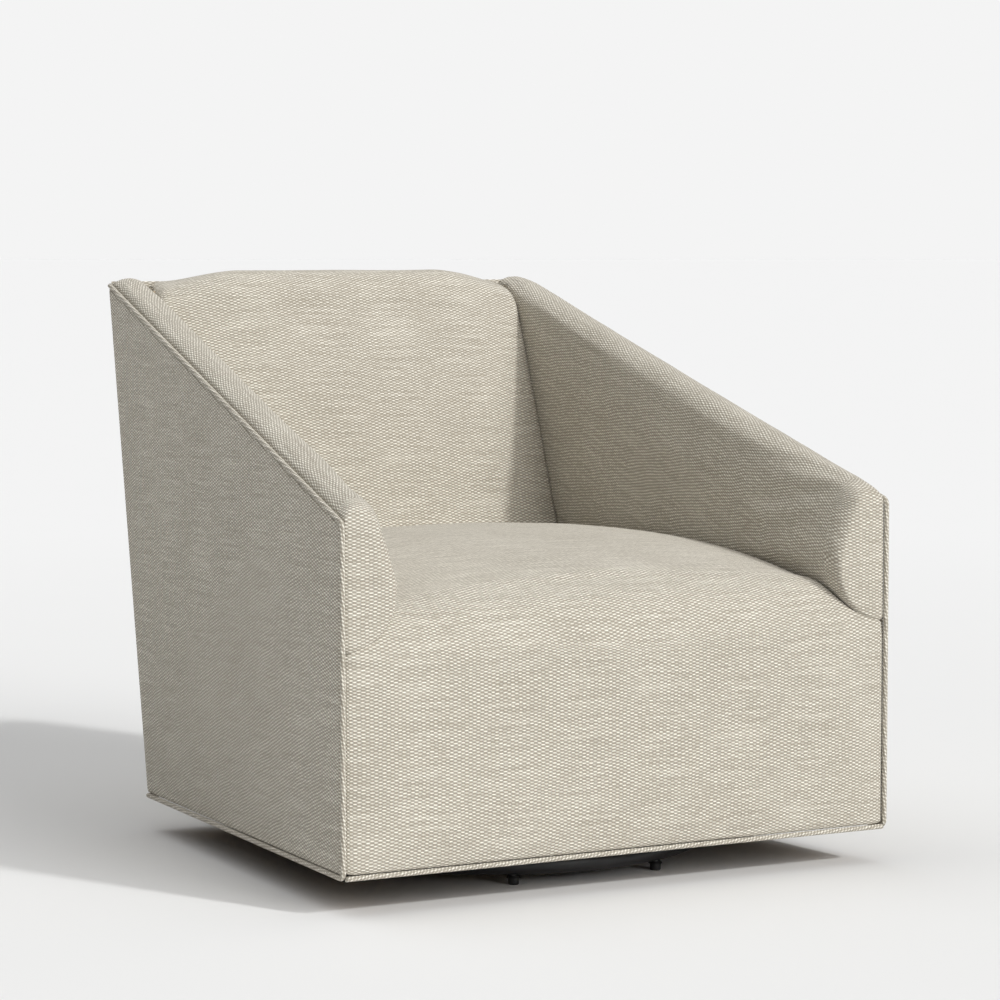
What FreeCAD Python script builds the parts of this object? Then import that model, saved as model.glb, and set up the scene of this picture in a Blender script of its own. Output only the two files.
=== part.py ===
import FreeCAD, Part
import math
import os

# Upholstered swivel rocker: a padded chair body that rocks on a spring unit,
# which turns on a ball bearing over a round tube base.
# Millimetres. The front faces -Y and +Z is up. Left and right are as seen from the front,
# with +X on the right. The origin is on the floor, under the middle of the bounding box.

# Outside of the upholstered body, over its welts
front_width = 790.0
rear_width = 698.0
base_depth = 700.0
overall_depth = 850.0
body_bottom = 44.5
arm_front_height = 475.0
arm_rear_height = 750.0

# Covers, welts and gaps
welt_size = 6.5
welt_corner = 9.0
side_cover_inset = 2.0
side_cover_thickness = 4.5
back_cover_thickness = 4.5
cover_thickness = 2.5
soft_gap = 0.3
panel_gap = 0.1
open_past = 2.0
overlap = 1.0

# Arms
arm_thickness_front = 80.0
arm_thickness_rear = 57.0
arm_crown_width = 50.0
arm_crown_rise = 16.0
arm_shoulder_drop = 75.0
arm_shoulder_bulge = 0.08
arm_nose_top = 392.0
arm_nose_bottom = 316.0
arm_nose_rounding = 8.0
arm_nose_draw = 1.5
arm_nose_knee = 0.29

# Seat pad
seat_front_edge = 312.0
seat_front_round = 75.0
seat_side_height = 404.0
seat_crown = 20.0
seat_front_fall = 32.0
seat_rear_fall = 22.0
seat_bottom = 304.0
seat_edge_swell = 0.3
seat_shelf_swell = 0.8
seat_rear_swell = 0.7
seat_knee_forward = 0.25
seat_knee_up = 0.66
seat_stations = (-1, -0.72, 0, 0.72, 1)

# Back pad
back_face_depth = 665.0
back_face_height = 400.0
back_face_slope = 0.329
back_bulge = 16.0
back_side_bulge = 2.0
back_side_draw = 14.0
back_top_height = 768.0
back_side_drop = 22.0
back_corner_start = 0.6
back_corner_power = 1.6
back_roll_start = 712.0
back_bottom = 306.0
back_belly_rise = 40.0
back_shoulder_share = 0.28
back_shoulder_up = 0.86
back_ridge_share = 0.62
back_ridge_fullness = 2.0
back_stations = (-1, -0.86, -0.6, 0, 0.6, 0.86, 1)

# Hardwood frame
board = 22.0
front_border_depth = 27.0
frame_bottom = 52.0
front_rail_top = 296.0
rear_rail_top = 200.0
side_rail_top = 142.0
arm_rail_height = 60.0
arm_rail_drop = 22.0
front_post_width = 60.0
back_post_width = 46.0
lower_rail_height = 38.0
back_top_rail_top = 736.0
back_top_rail_height = 46.0
back_low_rail_height = 40.0
spring_rail_depth = 640.0
corner_block_leg = 60.0
corner_block_height = 70.0
corner_block_rise = 8.0
bearer_width = 50.0
bearer_height = 40.0

# Seat springs and webbing
spring_wire = 4.0
spring_count = 5
spring_spacing = 104.0
spring_waves = 13
spring_wave_width = 44.0
clip_size = 14.0
clip_length = 16.0
clip_cover = 1.5
clip_play = 0.1
sheet = 1.2
cloth_gap = 0.2
cloth_margin = 20.0
strap_width = 50.0
strap_count = 4
strap_thickness = 2.0
strap_margin = 10.0

# Round base
ring_depth = 355.0
ring_radius = 273.0
ring_tube = 25.0
ring_wall = 2.0
ring_height = 24.5
glide_count = 8
glide_foot = 14.0
glide_flange = 18.0
glide_foot_height = 9.0
glide_foot_bevel = 1.0
glide_flange_gap = 0.2
glide_stem = 6.0
glide_stem_in_ring = 6.0
cross_width = 40.0
cross_height = 20.0
cross_wall = 2.0
plate_radius = 110.0
plate_thickness = 4.0

# Ball bearing and centre pin
race_inner = 45.0
race_outer = 75.0
race_thickness = 5.0
ball_track = 60.0
ball_size = 8.0
ball_sunk = 1.0
ball_count = 18
groove_clearance = 0.05
turntable_thickness = 5.0
cage_thickness = 1.5
cage_edge = 2.0
cage_clearance = 0.2
pin_size = 16.0
pin_head = 26.0
pin_head_height = 8.0
pin_washer = 34.0
pin_washer_thickness = 2.5
pin_nut_height = 13.0
pin_end = 3.0
run_clearance = 0.05

# Rocker unit
pivot_height = 108.0
cradle_width = 200.0
cradle_depth = 170.0
cradle_hole = 56.0
ear_thickness = 4.0
ear_radius = 20.0
ear_foot = 30.0
ear_foot_depth = 120.0
hanger_gap = 4.0
hanger_flange = 42.0
hanger_depth = 150.0
mount_height = 150.0
top_plate_margin = 10.0
shaft_end = 1.0
bushing_outer = 22.0
bushing_flange = 28.0
bushing_side_gap = 0.6
clip_disc = 24.0
clip_thickness = 2.0
coil_wire = 5.0
coil_diameter = 38.0
coil_turns = 6
coil_x = 42.0
coil_y = 58.0
stop_post = 12.0
stop_pad = 22.0
stop_pad_height = 16.0
stop_y = 72.0
stop_clearance = 0.4
stop_rounding = 1.5
rock_forward = 4.5
rock_back = 6.0
bolt_size = 8.0
bolt_head = 13.0
bolt_head_height = 5.0
bolt_nut_height = 6.0
bolt_end = 1.0
bolt_x = 85.0
bolt_y = 45.0
screw_size = 6.0
screw_head = 10.0
screw_head_height = 4.0
screw_y = 55.0
screw_length = 30.0

# Worked out from the values above
front = -overall_depth / 2
side_taper = (front_width - rear_width) / 2 / base_depth
panel_rise = (arm_rear_height - arm_front_height) / overall_depth
rear_rake = (overall_depth - base_depth) / (arm_rear_height - body_bottom)
frame_inset = side_cover_inset + side_cover_thickness
foam_inset = frame_inset + board
arm_taper = side_taper + (arm_thickness_rear - arm_thickness_front) / overall_depth
pivot_y = front + ring_depth
base_plate_bottom = ring_height + cross_height / 2
base_plate_top = base_plate_bottom + plate_thickness
race_gap = ball_size - 2 * ball_sunk
turntable_bottom = base_plate_top + race_thickness + race_gap
ball_height = base_plate_top + race_thickness + race_gap / 2
turntable_top = turntable_bottom + turntable_thickness
cradle_top = turntable_top + plate_thickness
ear_outer = cradle_width / 2
hanger_inner = ear_outer + hanger_gap
hanger_outer = hanger_inner + ear_thickness
coil_top = mount_height - plate_thickness
bearer_x = hanger_inner - ear_thickness + bearer_width / 2
bearer_top = mount_height + bearer_height
spring_height = front_rail_top + spring_wire / 2
deck_height = front_rail_top + spring_wire + cloth_gap

V = FreeCAD.Vector
up = V(0, 0, 1)


def half_width(y):
    """Half the body's width over the side welts, at depth y."""
    return front_width / 2 - side_taper * (y - front)


def panel_top(y):
    """Height of the side panel's sloped top edge at depth y."""
    return arm_front_height + panel_rise * (y - front)


def rear_y(z):
    """Depth of the raked rear face at height z."""
    return front + base_depth + rear_rake * (z - body_bottom)


def arm_inner(y):
    """Half the clear width between the arms at depth y."""
    return front_width / 2 - arm_thickness_front - arm_taper * (y - front)


def back_face(z):
    """Depth of the back pad's face at the arms, at height z."""
    return front + back_face_depth + back_face_slope * (z - back_face_height)


def slope_meets_rear(drop, inset):
    """Where a line this far under the panel's top edge meets the rear face, this far inside."""
    start = front + base_depth - inset
    rise = arm_front_height - panel_rise * front - drop - body_bottom
    y = (start + rear_rake * rise) / (1 - rear_rake * panel_rise)
    return y, panel_top(y) - drop


def polygon(points):
    """A flat face through these points."""
    wire = Part.makePolygon([V(*point) for point in points] + [V(*points[0])])
    return Part.Face(wire)


def prism(points, along):
    return polygon(points).extrude(V(*along))


def box(x0, x1, y0, y1, z0, z1):
    return Part.makeBox(x1 - x0, y1 - y0, z1 - z0, V(x0, y0, z0))


def cylinder(radius, x, y, z0, z1):
    return Part.makeCylinder(radius, z1 - z0, V(x, y, z0), up)


def rod_x(radius, x0, x1, y, z):
    return Part.makeCylinder(radius, x1 - x0, V(x0, y, z), V(1, 0, 0))


def hexagon(across, x, y, z0, z1):
    """A hexagonal head or nut, this wide across its flats."""
    reach = across / math.sqrt(3)
    corners = [math.radians(60 * k) for k in range(6)]
    points = [(x + reach * math.cos(a), y + reach * math.sin(a), z0) for a in corners]
    return prism(points, (0, 0, z1 - z0))


def closed_wire(steps):
    """Lines and arcs end to end: each step is (end,) or (through, end), the first is the start."""
    start = steps[0][0]
    here = start
    edges = []
    for step in steps[1:] + [(start,)]:
        end = step[-1]
        if (end - here).Length < 1e-6:
            continue
        if len(step) == 2:
            edges.append(Part.Arc(here, step[0], end).toShape())
        else:
            edges.append(Part.LineSegment(here, end).toShape())
        here = end
    return Part.Wire(edges)


def loft(wires, ruled=False):
    return Part.makeLoft(wires, True, ruled)


def tube(path, radius):
    """A round tube along a wire that starts with a straight run."""
    first = path.OrderedEdges[0]
    start = first.valueAt(first.FirstParameter)
    along = first.tangentAt(first.FirstParameter)
    ring = Part.Wire([Part.Circle(start, along, radius).toShape()])
    return path.makePipeShell([ring], True, False)


def rounded_path(points, radius):
    """Straight runs through the points, with tangent arcs of this radius at the corners."""
    edges = []
    here = points[0]
    for k in range(1, len(points) - 1):
        corner = points[k]
        back = (points[k - 1] - corner).normalize()
        ahead = (points[k + 1] - corner).normalize()
        half = back.getAngle(ahead) / 2
        reach = radius / math.tan(half)
        centre = corner + (back + ahead).normalize() * (radius / math.sin(half))
        begin = corner + back * reach
        end = corner + ahead * reach
        middle = centre + (corner - centre).normalize() * radius
        edges.append(Part.LineSegment(here, begin).toShape())
        edges.append(Part.Arc(begin, middle, end).toShape())
        here = end
    edges.append(Part.LineSegment(here, points[-1]).toShape())
    return Part.Wire(edges)


def arc_from(start, control, end):
    """The arc from start to end whose end tangents both pass through control."""
    middle = (start + end) * 0.5
    half_turn = (control - start).getAngle(end - start)
    sagitta = math.tan(half_turn / 2) / math.tan(half_turn)
    return Part.Arc(start, middle + (control - middle) * sagitta, end).toShape()


def helix(radius, pitch, turns):
    """A helix about Z from the origin's height, as two tangent arcs to each quarter turn."""
    step = math.pi / 2
    climb = pitch / (2 * math.pi)

    def point(angle):
        return V(radius * math.cos(angle), radius * math.sin(angle), climb * angle)

    def tangent(angle):
        return V(-radius * math.sin(angle), radius * math.cos(angle), climb).normalize()

    edges = []
    for k in range(4 * turns):
        a, b = point(k * step), point((k + 1) * step)
        ta, tb = tangent(k * step), tangent((k + 1) * step)
        chord = b - a
        both = ta + tb
        square = 4 - both.dot(both)
        reach = (math.sqrt(both.dot(chord) ** 2 + square * chord.dot(chord)) - both.dot(chord)) / square
        near, far = a + ta * reach, b - tb * reach
        meet = (near + far) * 0.5
        edges += [arc_from(a, near, meet), arc_from(meet, far, b)]
    return Part.Wire(edges)


def mirrored(shape):
    return shape.mirror(V(0, 0, 0), V(1, 0, 0))


def both_sides(shape):
    return [shape, mirrored(shape)]


def between_sides(shape, inset):
    """What lies within the tapered sides, this far in from the body's outside."""
    y0, y1 = 2 * front, -2 * front
    points = [(half_width(y0) - inset, y0, 0), (half_width(y1) - inset, y1, 0)]
    points += [(-x, y, z) for x, y, z in reversed(points)]
    return shape.common(prism(points, (0, 0, 2 * arm_rear_height)))


def side_slab(inset, thickness, outline):
    """A board on the right side: its outline in (y, z), this far in from the outside."""
    points = [(half_width(y) - inset, y, z) for y, z in outline]
    return prism(points, (-thickness, 0, 0))


def rear_slab(inset, thickness, half, z0, z1):
    """A raked board across the rear, between two heights."""
    points = [(x, rear_y(z) - inset, z) for x, z in ((-half, z0), (half, z0), (half, z1), (-half, z1))]
    return prism(points, (0, -thickness, 0))


def save(node, shapes):
    """Writes a node's solids, one or several, as its own file."""
    if not isinstance(shapes, list):
        shapes = [shapes]
    solids = [solid for shape in shapes for solid in shape.Solids]
    for solid in solids:
        if not solid.isValid() or solid.Volume <= 0:
            raise ValueError(node + " has a bad solid")
    Part.makeCompound(solids).exportStep("parts/" + node + ".step")
    volume = sum(solid.Volume for solid in solids)
    print("%-24s %3d solids %12.0f mm3" % (node, len(solids), volume))


os.makedirs("parts", exist_ok=True)


# Round base on the floor

def ring_angles():
    """Evenly spaced glides, with one pair either side of straight ahead."""
    return [2 * math.pi * (k + 0.5) / glide_count - math.pi / 2 for k in range(glide_count)]


def at_ring(angle):
    return ring_radius * math.cos(angle), pivot_y + ring_radius * math.sin(angle)


def make_base_ring():
    centre = V(0, pivot_y, ring_height)
    ring = Part.makeTorus(ring_radius, ring_tube / 2, centre, up)
    ring = ring.cut(Part.makeTorus(ring_radius, ring_tube / 2 - ring_wall, centre, up))
    low = ring_height - ring_tube
    holes = [cylinder(glide_stem / 2, *at_ring(a), low, ring_height) for a in ring_angles()]
    return ring.cut(Part.makeCompound(holes))


def make_glides():
    """Moulded feet: a flat foot under a wide flange, bored for the stem."""
    flange_top = ring_height - ring_tube / 2 - glide_flange_gap
    bevel = glide_foot_bevel
    glides = []
    for angle in ring_angles():
        x, y = at_ring(angle)
        foot = Part.makeCone(glide_foot / 2 - bevel, glide_foot / 2, bevel, V(x, y, 0), up)
        foot = foot.fuse(cylinder(glide_foot / 2, x, y, bevel, glide_foot_height))
        flange = Part.makeCone(glide_flange / 2, glide_foot / 2, flange_top - glide_foot_height,
                               V(x, y, glide_foot_height), up)
        glide = foot.fuse(flange).removeSplitter()
        glides.append(glide.cut(cylinder(glide_stem / 2, x, y, glide_foot_height / 2, flange_top)))
    return glides


def make_glide_stems():
    top = ring_height - ring_tube / 2 + ring_wall + glide_stem_in_ring
    return [cylinder(glide_stem / 2, *at_ring(a), glide_foot_height / 2, top) for a in ring_angles()]


def make_cross_tubes():
    """Two flat tubes that cross inside the ring, one of them in two halves."""
    z0, z1 = ring_height - cross_height / 2, ring_height + cross_height / 2
    half = cross_width / 2
    wall = cross_wall
    inner = half - wall
    long = box(-ring_radius, ring_radius, pivot_y - half, pivot_y + half, z0, z1).cut(
        box(-ring_radius, ring_radius, pivot_y - inner, pivot_y + inner, z0 + wall, z1 - wall))
    ahead = box(-half, half, pivot_y - ring_radius, pivot_y - half, z0, z1).cut(
        box(-inner, inner, pivot_y - ring_radius, pivot_y - half, z0 + wall, z1 - wall))
    behind = ahead.mirror(V(0, pivot_y, 0), V(0, 1, 0))
    ring = Part.makeTorus(ring_radius, ring_tube / 2, V(0, pivot_y, ring_height), up)
    outside = cylinder(ring_radius + ring_tube, 0, pivot_y, z0, z1).cut(
        cylinder(ring_radius, 0, pivot_y, z0, z1))
    bore = cylinder(pin_size / 2, 0, pivot_y, z0, z1)
    return [tube_part.cut(ring).cut(outside).cut(bore) for tube_part in (long, ahead, behind)]


def make_base_plate():
    plate = cylinder(plate_radius, 0, pivot_y, base_plate_bottom, base_plate_top)
    return plate.cut(cylinder(pin_size / 2, 0, pivot_y, base_plate_bottom, base_plate_top))


def ball_groove():
    return Part.makeTorus(ball_track, ball_size / 2 + groove_clearance, V(0, pivot_y, ball_height), up)


def make_lower_race():
    top = base_plate_top + race_thickness
    race = cylinder(race_outer, 0, pivot_y, base_plate_top, top)
    race = race.cut(cylinder(race_inner, 0, pivot_y, base_plate_top, top))
    return race.cut(ball_groove())


def ball_places():
    angles = [2 * math.pi * k / ball_count for k in range(ball_count)]
    return [(ball_track * math.cos(a), pivot_y + ball_track * math.sin(a)) for a in angles]


def make_balls():
    return [Part.makeSphere(ball_size / 2, V(x, y, ball_height)) for x, y in ball_places()]


def make_ball_cage():
    z0, z1 = ball_height - cage_thickness / 2, ball_height + cage_thickness / 2
    cage = cylinder(race_outer - cage_edge, 0, pivot_y, z0, z1)
    cage = cage.cut(cylinder(race_inner + cage_edge, 0, pivot_y, z0, z1))
    pocket = ball_size / 2 + cage_clearance
    return cage.cut(Part.makeCompound([cylinder(pocket, x, y, z0, z1) for x, y in ball_places()]))


def make_pin():
    """The centre bolt: a hexagonal head under the cross tubes and a shank to the nut."""
    seat = ring_height - cross_height / 2
    top = turntable_top + run_clearance + pin_washer_thickness + pin_nut_height + pin_end
    shank = cylinder(pin_size / 2, 0, pivot_y, seat, top)
    return shank.fuse(hexagon(pin_head, 0, pivot_y, seat - pin_head_height, seat)).removeSplitter()


def make_pin_nut():
    """The washer that holds the turntable down, and the nut over it."""
    z0 = turntable_top + run_clearance
    z1 = z0 + pin_washer_thickness
    bore = cylinder(pin_size / 2, 0, pivot_y, z0, z1 + pin_nut_height)
    washer = cylinder(pin_washer / 2, 0, pivot_y, z0, z1).cut(bore)
    nut = hexagon(pin_head, 0, pivot_y, z1, z1 + pin_nut_height).cut(bore)
    return [washer, nut]


save("base_ring", make_base_ring())
save("glides", make_glides())
save("glide_stems", make_glide_stems())
save("cross_tubes", make_cross_tubes())
save("base_plate", make_base_plate())
save("lower_race", make_lower_race())
save("bearing_balls", make_balls())
save("ball_cage", make_ball_cage())
save("centre_pin", make_pin())
save("centre_pin_nut", make_pin_nut())


# Turntable with the lower half of the rocker unit

def bolt_places():
    return [(x, pivot_y + y) for x in (-bolt_x, bolt_x) for y in (-bolt_y, bolt_y)]


def bolt_holes(z0, z1):
    return Part.makeCompound([cylinder(bolt_size / 2, x, y, z0, z1) for x, y in bolt_places()])


def make_turntable():
    plate = cylinder(plate_radius, 0, pivot_y, turntable_bottom, turntable_top)
    plate = plate.cut(cylinder(pin_size / 2 + run_clearance, 0, pivot_y, turntable_bottom, turntable_top))
    return plate.cut(ball_groove()).cut(bolt_holes(turntable_bottom, turntable_top))


def make_cradle_plate():
    x, y = cradle_width / 2, cradle_depth / 2
    plate = box(-x, x, pivot_y - y, pivot_y + y, turntable_top, cradle_top)
    plate = plate.cut(cylinder(cradle_hole / 2, 0, pivot_y, turntable_top, cradle_top))
    return plate.cut(bolt_holes(turntable_top, cradle_top))


def make_cradle_ear():
    """An angle bracket: a bolted foot and an upright that carries the shaft."""
    x0, x1 = ear_outer - ear_thickness, ear_outer
    foot = box(ear_outer - ear_foot, x1, pivot_y - ear_foot_depth / 2, pivot_y + ear_foot_depth / 2,
               cradle_top, cradle_top + ear_thickness)
    spread = ear_foot_depth / 2
    upright = prism([(x0, pivot_y - spread, cradle_top), (x0, pivot_y + spread, cradle_top),
                     (x0, pivot_y + ear_radius, pivot_height), (x0, pivot_y - ear_radius, pivot_height)],
                    (ear_thickness, 0, 0))
    ear = foot.fuse(upright).fuse(rod_x(ear_radius, x0, x1, pivot_y, pivot_height)).removeSplitter()
    ear = ear.cut(rod_x(pin_size / 2, x0, x1, pivot_y, pivot_height))
    return ear.cut(bolt_holes(cradle_top, cradle_top + ear_thickness))


def make_cradle_bolts():
    """Four bolts down through the feet and the turntable, each with its nut under the plate."""
    top = cradle_top + ear_thickness
    low = turntable_bottom - bolt_nut_height
    solids = []
    for x, y in bolt_places():
        bolt = cylinder(bolt_size / 2, x, y, low - bolt_end, top)
        solids.append(bolt.fuse(hexagon(bolt_head, x, y, top, top + bolt_head_height)).removeSplitter())
        nut = hexagon(bolt_head, x, y, low, turntable_bottom)
        solids.append(nut.cut(cylinder(bolt_size / 2, x, y, low, turntable_bottom)))
    return solids


def shaft_half_length():
    return hanger_outer + 2 * bushing_side_gap + clip_thickness + shaft_end


def make_shaft():
    half = shaft_half_length()
    return rod_x(pin_size / 2, -half, half, pivot_y, pivot_height)


def make_shaft_clips():
    x0 = hanger_outer + 2 * bushing_side_gap
    clip = rod_x(clip_disc / 2, x0, x0 + clip_thickness, pivot_y, pivot_height)
    clip = clip.cut(rod_x(pin_size / 2, x0, x0 + clip_thickness, pivot_y, pivot_height))
    return both_sides(clip)


def stop_height(angle):
    """Top of a stop that the plate above meets at this angle, less its clearance."""
    reach = stop_y + stop_pad / 2
    lift = coil_top - pivot_height
    turn = math.radians(angle)
    return pivot_height + lift * math.cos(turn) - reach * math.sin(turn) - stop_clearance


def stops():
    return ((-stop_y, stop_height(rock_forward)), (stop_y, stop_height(rock_back)))


def make_stop_posts():
    return [cylinder(stop_post / 2, 0, pivot_y + y, cradle_top, top - stop_pad_height) for y, top in stops()]


def make_stop_pads():
    pads = []
    for y, top in stops():
        pad = cylinder(stop_pad / 2, 0, pivot_y + y, top - stop_pad_height, top)
        rim = [edge for edge in pad.Edges if edge.BoundBox.ZMin > top - stop_rounding]
        pads.append(pad.makeFillet(stop_rounding, rim))
    return pads


def make_rocker_springs():
    """Four coil springs between the cradle plate and the plate above."""
    closed_ends = coil_wire + 2 * soft_gap
    pitch = (coil_top - cradle_top - closed_ends) / coil_turns
    gap = pitch - coil_wire
    print("rocker spring: gap between turns %.2f" % gap)
    coil = tube_along_helix(pitch)
    coil.translate(V(0, 0, cradle_top + closed_ends / 2))
    springs = []
    for x in (-coil_x, coil_x):
        for y in (-coil_y, coil_y):
            spring = coil.copy()
            spring.translate(V(x, pivot_y + y, 0))
            springs.append(spring)
    return springs


def tube_along_helix(pitch):
    path = helix(coil_diameter / 2, pitch, coil_turns)
    climb = pitch / (2 * math.pi)
    along = V(0, coil_diameter / 2, climb)
    ring = Part.Wire([Part.Circle(V(coil_diameter / 2, 0, 0), along, coil_wire / 2).toShape()])
    return path.makePipeShell([ring], True, False)


save("turntable", make_turntable())
save("cradle_plate", make_cradle_plate())
save("cradle_ears", both_sides(make_cradle_ear()))
save("cradle_bolts", make_cradle_bolts())
save("rocker_shaft", make_shaft())
save("shaft_clips", make_shaft_clips())
save("stop_posts", make_stop_posts())
save("stop_pads", make_stop_pads())
save("rocker_springs", make_rocker_springs())


# Upper half of the rocker unit, fixed under the chair's frame

def make_hanger():
    """An angle bracket: a flange under the bearer and an ear that hangs on the shaft."""
    y0, y1 = pivot_y - hanger_depth / 2, pivot_y + hanger_depth / 2
    flange = box(hanger_inner, hanger_inner + hanger_flange, y0, y1,
                 mount_height - ear_thickness, mount_height)
    ear = prism([(hanger_inner, y0, mount_height), (hanger_inner, y1, mount_height),
                 (hanger_inner, pivot_y + ear_radius, pivot_height),
                 (hanger_inner, pivot_y - ear_radius, pivot_height)], (ear_thickness, 0, 0))
    eye = rod_x(ear_radius, hanger_inner, hanger_outer, pivot_y, pivot_height)
    hanger = flange.fuse(ear).fuse(eye).removeSplitter()
    hanger = hanger.cut(rod_x(bushing_outer / 2, hanger_inner, hanger_outer, pivot_y, pivot_height))
    return hanger.cut(Part.makeCompound(screw_shanks()))


def make_bushings():
    """Flanged sleeves in the hangers' eyes that turn on the shaft."""
    flange_in = ear_outer + bushing_side_gap
    sleeve = rod_x(bushing_outer / 2, flange_in, hanger_outer + bushing_side_gap, pivot_y, pivot_height)
    flange = rod_x(bushing_flange / 2, flange_in, hanger_inner, pivot_y, pivot_height)
    bore = rod_x(pin_size / 2 + run_clearance, 0, 2 * hanger_outer, pivot_y, pivot_height)
    return both_sides(sleeve.fuse(flange).removeSplitter().cut(bore))


def make_top_plate():
    y = hanger_depth / 2 + top_plate_margin
    return box(-hanger_inner, hanger_inner, pivot_y - y, pivot_y + y, coil_top, mount_height)


def screw_places():
    x = (hanger_outer + hanger_inner + hanger_flange) / 2
    return [(x, pivot_y - screw_y), (x, pivot_y + screw_y)]


def screw_shanks():
    z0 = mount_height - ear_thickness
    return [cylinder(screw_size / 2, x, y, z0, z0 + screw_length) for x, y in screw_places()]


def make_screws():
    z0 = mount_height - ear_thickness
    screws = []
    for shank, (x, y) in zip(screw_shanks(), screw_places()):
        head = hexagon(screw_head, x, y, z0 - screw_head_height, z0)
        screws.append(shank.fuse(head).removeSplitter())
    return screws + [mirrored(screw) for screw in screws]


save("hangers", both_sides(make_hanger()))
save("rocker_bushings", make_bushings())
save("rocker_top_plate", make_top_plate())
save("hanger_screws", make_screws())


# Hardwood frame

front_rail_front = front + front_border_depth
front_rail_rear = front_rail_front + board


def rear_zone(z0, z1):
    """Space that a raked rear board takes between two heights."""
    return rear_slab(back_cover_thickness, board, front_width, z0, z1)


def make_front_rail():
    rail = box(-front_width, front_width, front_rail_front, front_rail_rear, frame_bottom, front_rail_top)
    return between_sides(rail, frame_inset)


def make_rear_rail():
    return between_sides(rear_zone(frame_bottom, rear_rail_top), foam_inset)


def raked_end(z, inset=back_cover_thickness):
    return (rear_y(z) - inset, z)


def make_side_rail():
    outline = [(front_rail_rear, frame_bottom), raked_end(frame_bottom), raked_end(side_rail_top),
               (front_rail_rear, side_rail_top)]
    return side_slab(frame_inset, board, outline)


def make_corner_blocks():
    z0 = frame_bottom + corner_block_rise
    z1 = z0 + corner_block_height
    blocks = []
    for y, away in ((front_rail_rear, 1), (raked_end(z0)[0] - board, -1)):
        x = half_width(y) - foam_inset
        end = y + away * corner_block_leg
        points = [(x, y, z0), (half_width(end) - foam_inset, end, z0), (x - corner_block_leg, y, z0)]
        blocks.append(prism(points, (0, 0, z1 - z0)))
    return blocks + [mirrored(block) for block in blocks]


def make_front_post():
    y0, y1 = front_rail_rear, front_rail_rear + front_post_width
    under = arm_rail_drop + arm_rail_height
    outline = [(y0, side_rail_top), (y1, side_rail_top), (y1, panel_top(y1) - under),
               (y0, panel_top(y0) - under)]
    return side_slab(frame_inset, board, outline)


def make_back_post():
    under = arm_rail_drop + arm_rail_height
    inner = back_cover_thickness + back_post_width
    outline = [raked_end(side_rail_top), slope_meets_rear(under, back_cover_thickness),
               slope_meets_rear(under, inner), raked_end(side_rail_top, inner)]
    return side_slab(frame_inset, board, outline)


def arm_rail_outline(grow):
    """The sloped arm rail's outline, grown by a gap for what fits round it."""
    y0 = front_rail_rear - grow
    top = arm_rail_drop - grow
    under = arm_rail_drop + arm_rail_height + grow
    return [(y0, panel_top(y0) - under), slope_meets_rear(under, back_cover_thickness - grow),
            slope_meets_rear(top, back_cover_thickness - grow), (y0, panel_top(y0) - top)]


def make_arm_rail():
    return side_slab(frame_inset, board, arm_rail_outline(0))


def make_lower_rail():
    z1 = front_rail_top
    z0 = z1 - lower_rail_height
    inner = back_cover_thickness + back_post_width
    outline = [(front_rail_rear + front_post_width, z0), raked_end(z0, inner), raked_end(z1, inner),
               (front_rail_rear + front_post_width, z1)]
    return side_slab(frame_inset, board, outline)


def make_spring_rail():
    y0 = front + spring_rail_depth
    rail = box(-front_width, front_width, y0, y0 + board, front_rail_top - lower_rail_height, front_rail_top)
    return between_sides(rail, foam_inset)


def make_bearers():
    """Two bearers from the front rail to the rear rail, over the rocker unit."""
    x0, x1 = bearer_x - bearer_width / 2, bearer_x + bearer_width / 2
    bearer = box(x0, x1, front_rail_rear, raked_end(mount_height)[0], mount_height, bearer_top)
    bearer = bearer.cut(rear_zone(frame_bottom, 2 * bearer_top)).Solids[0]
    return both_sides(bearer.cut(Part.makeCompound(screw_shanks())))


save("front_rail", make_front_rail())
save("rear_rail", make_rear_rail())
save("side_rail_right", make_side_rail())
save("side_rail_left", mirrored(make_side_rail()))
save("corner_blocks", make_corner_blocks())
save("arm_front_posts", both_sides(make_front_post()))
save("back_posts", both_sides(make_back_post()))
save("arm_rail_right", make_arm_rail())
save("arm_rail_left", mirrored(make_arm_rail()))
save("lower_rails", both_sides(make_lower_rail()))
save("back_top_rail", between_sides(rear_zone(back_top_rail_top - back_top_rail_height, back_top_rail_top),
                                    foam_inset))
save("back_low_rail", between_sides(rear_zone(back_bottom, back_bottom + back_low_rail_height), foam_inset))
save("spring_rail", make_spring_rail())
save("bearers", make_bearers())


# Springs, webbing and cloths inside the body

def make_seat_springs():
    """Zigzag wires from the front rail to the spring rail, half a turn at each end of a wave."""
    y0 = front_rail_front + board / 2
    y1 = front + spring_rail_depth + board / 2
    step = (y1 - y0) / (2 * spring_waves + 2)
    reach = spring_wave_width / 2 - step / 2
    wires = []
    for k in range(spring_count):
        x = (k - (spring_count - 1) / 2) * spring_spacing
        wires.append(tube(zigzag(x, y0, step, reach), spring_wire / 2))
    return wires


def zigzag(x, y0, step, reach):
    edges = []
    here = V(x, y0, spring_height)
    side = 1
    y = y0
    for k in range(2 * spring_waves + 1):
        bend = V(x + side * reach, y, spring_height)
        edges.append(Part.LineSegment(here, bend).toShape())
        tip = V(bend.x + side * step / 2, y + step / 2, spring_height)
        here = V(bend.x, y + step, spring_height)
        edges.append(Part.Arc(bend, tip, here).toShape())
        y += step
        side = -side
    edges.append(Part.LineSegment(here, V(x, y, spring_height)).toShape())
    return Part.Wire(edges)


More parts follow.
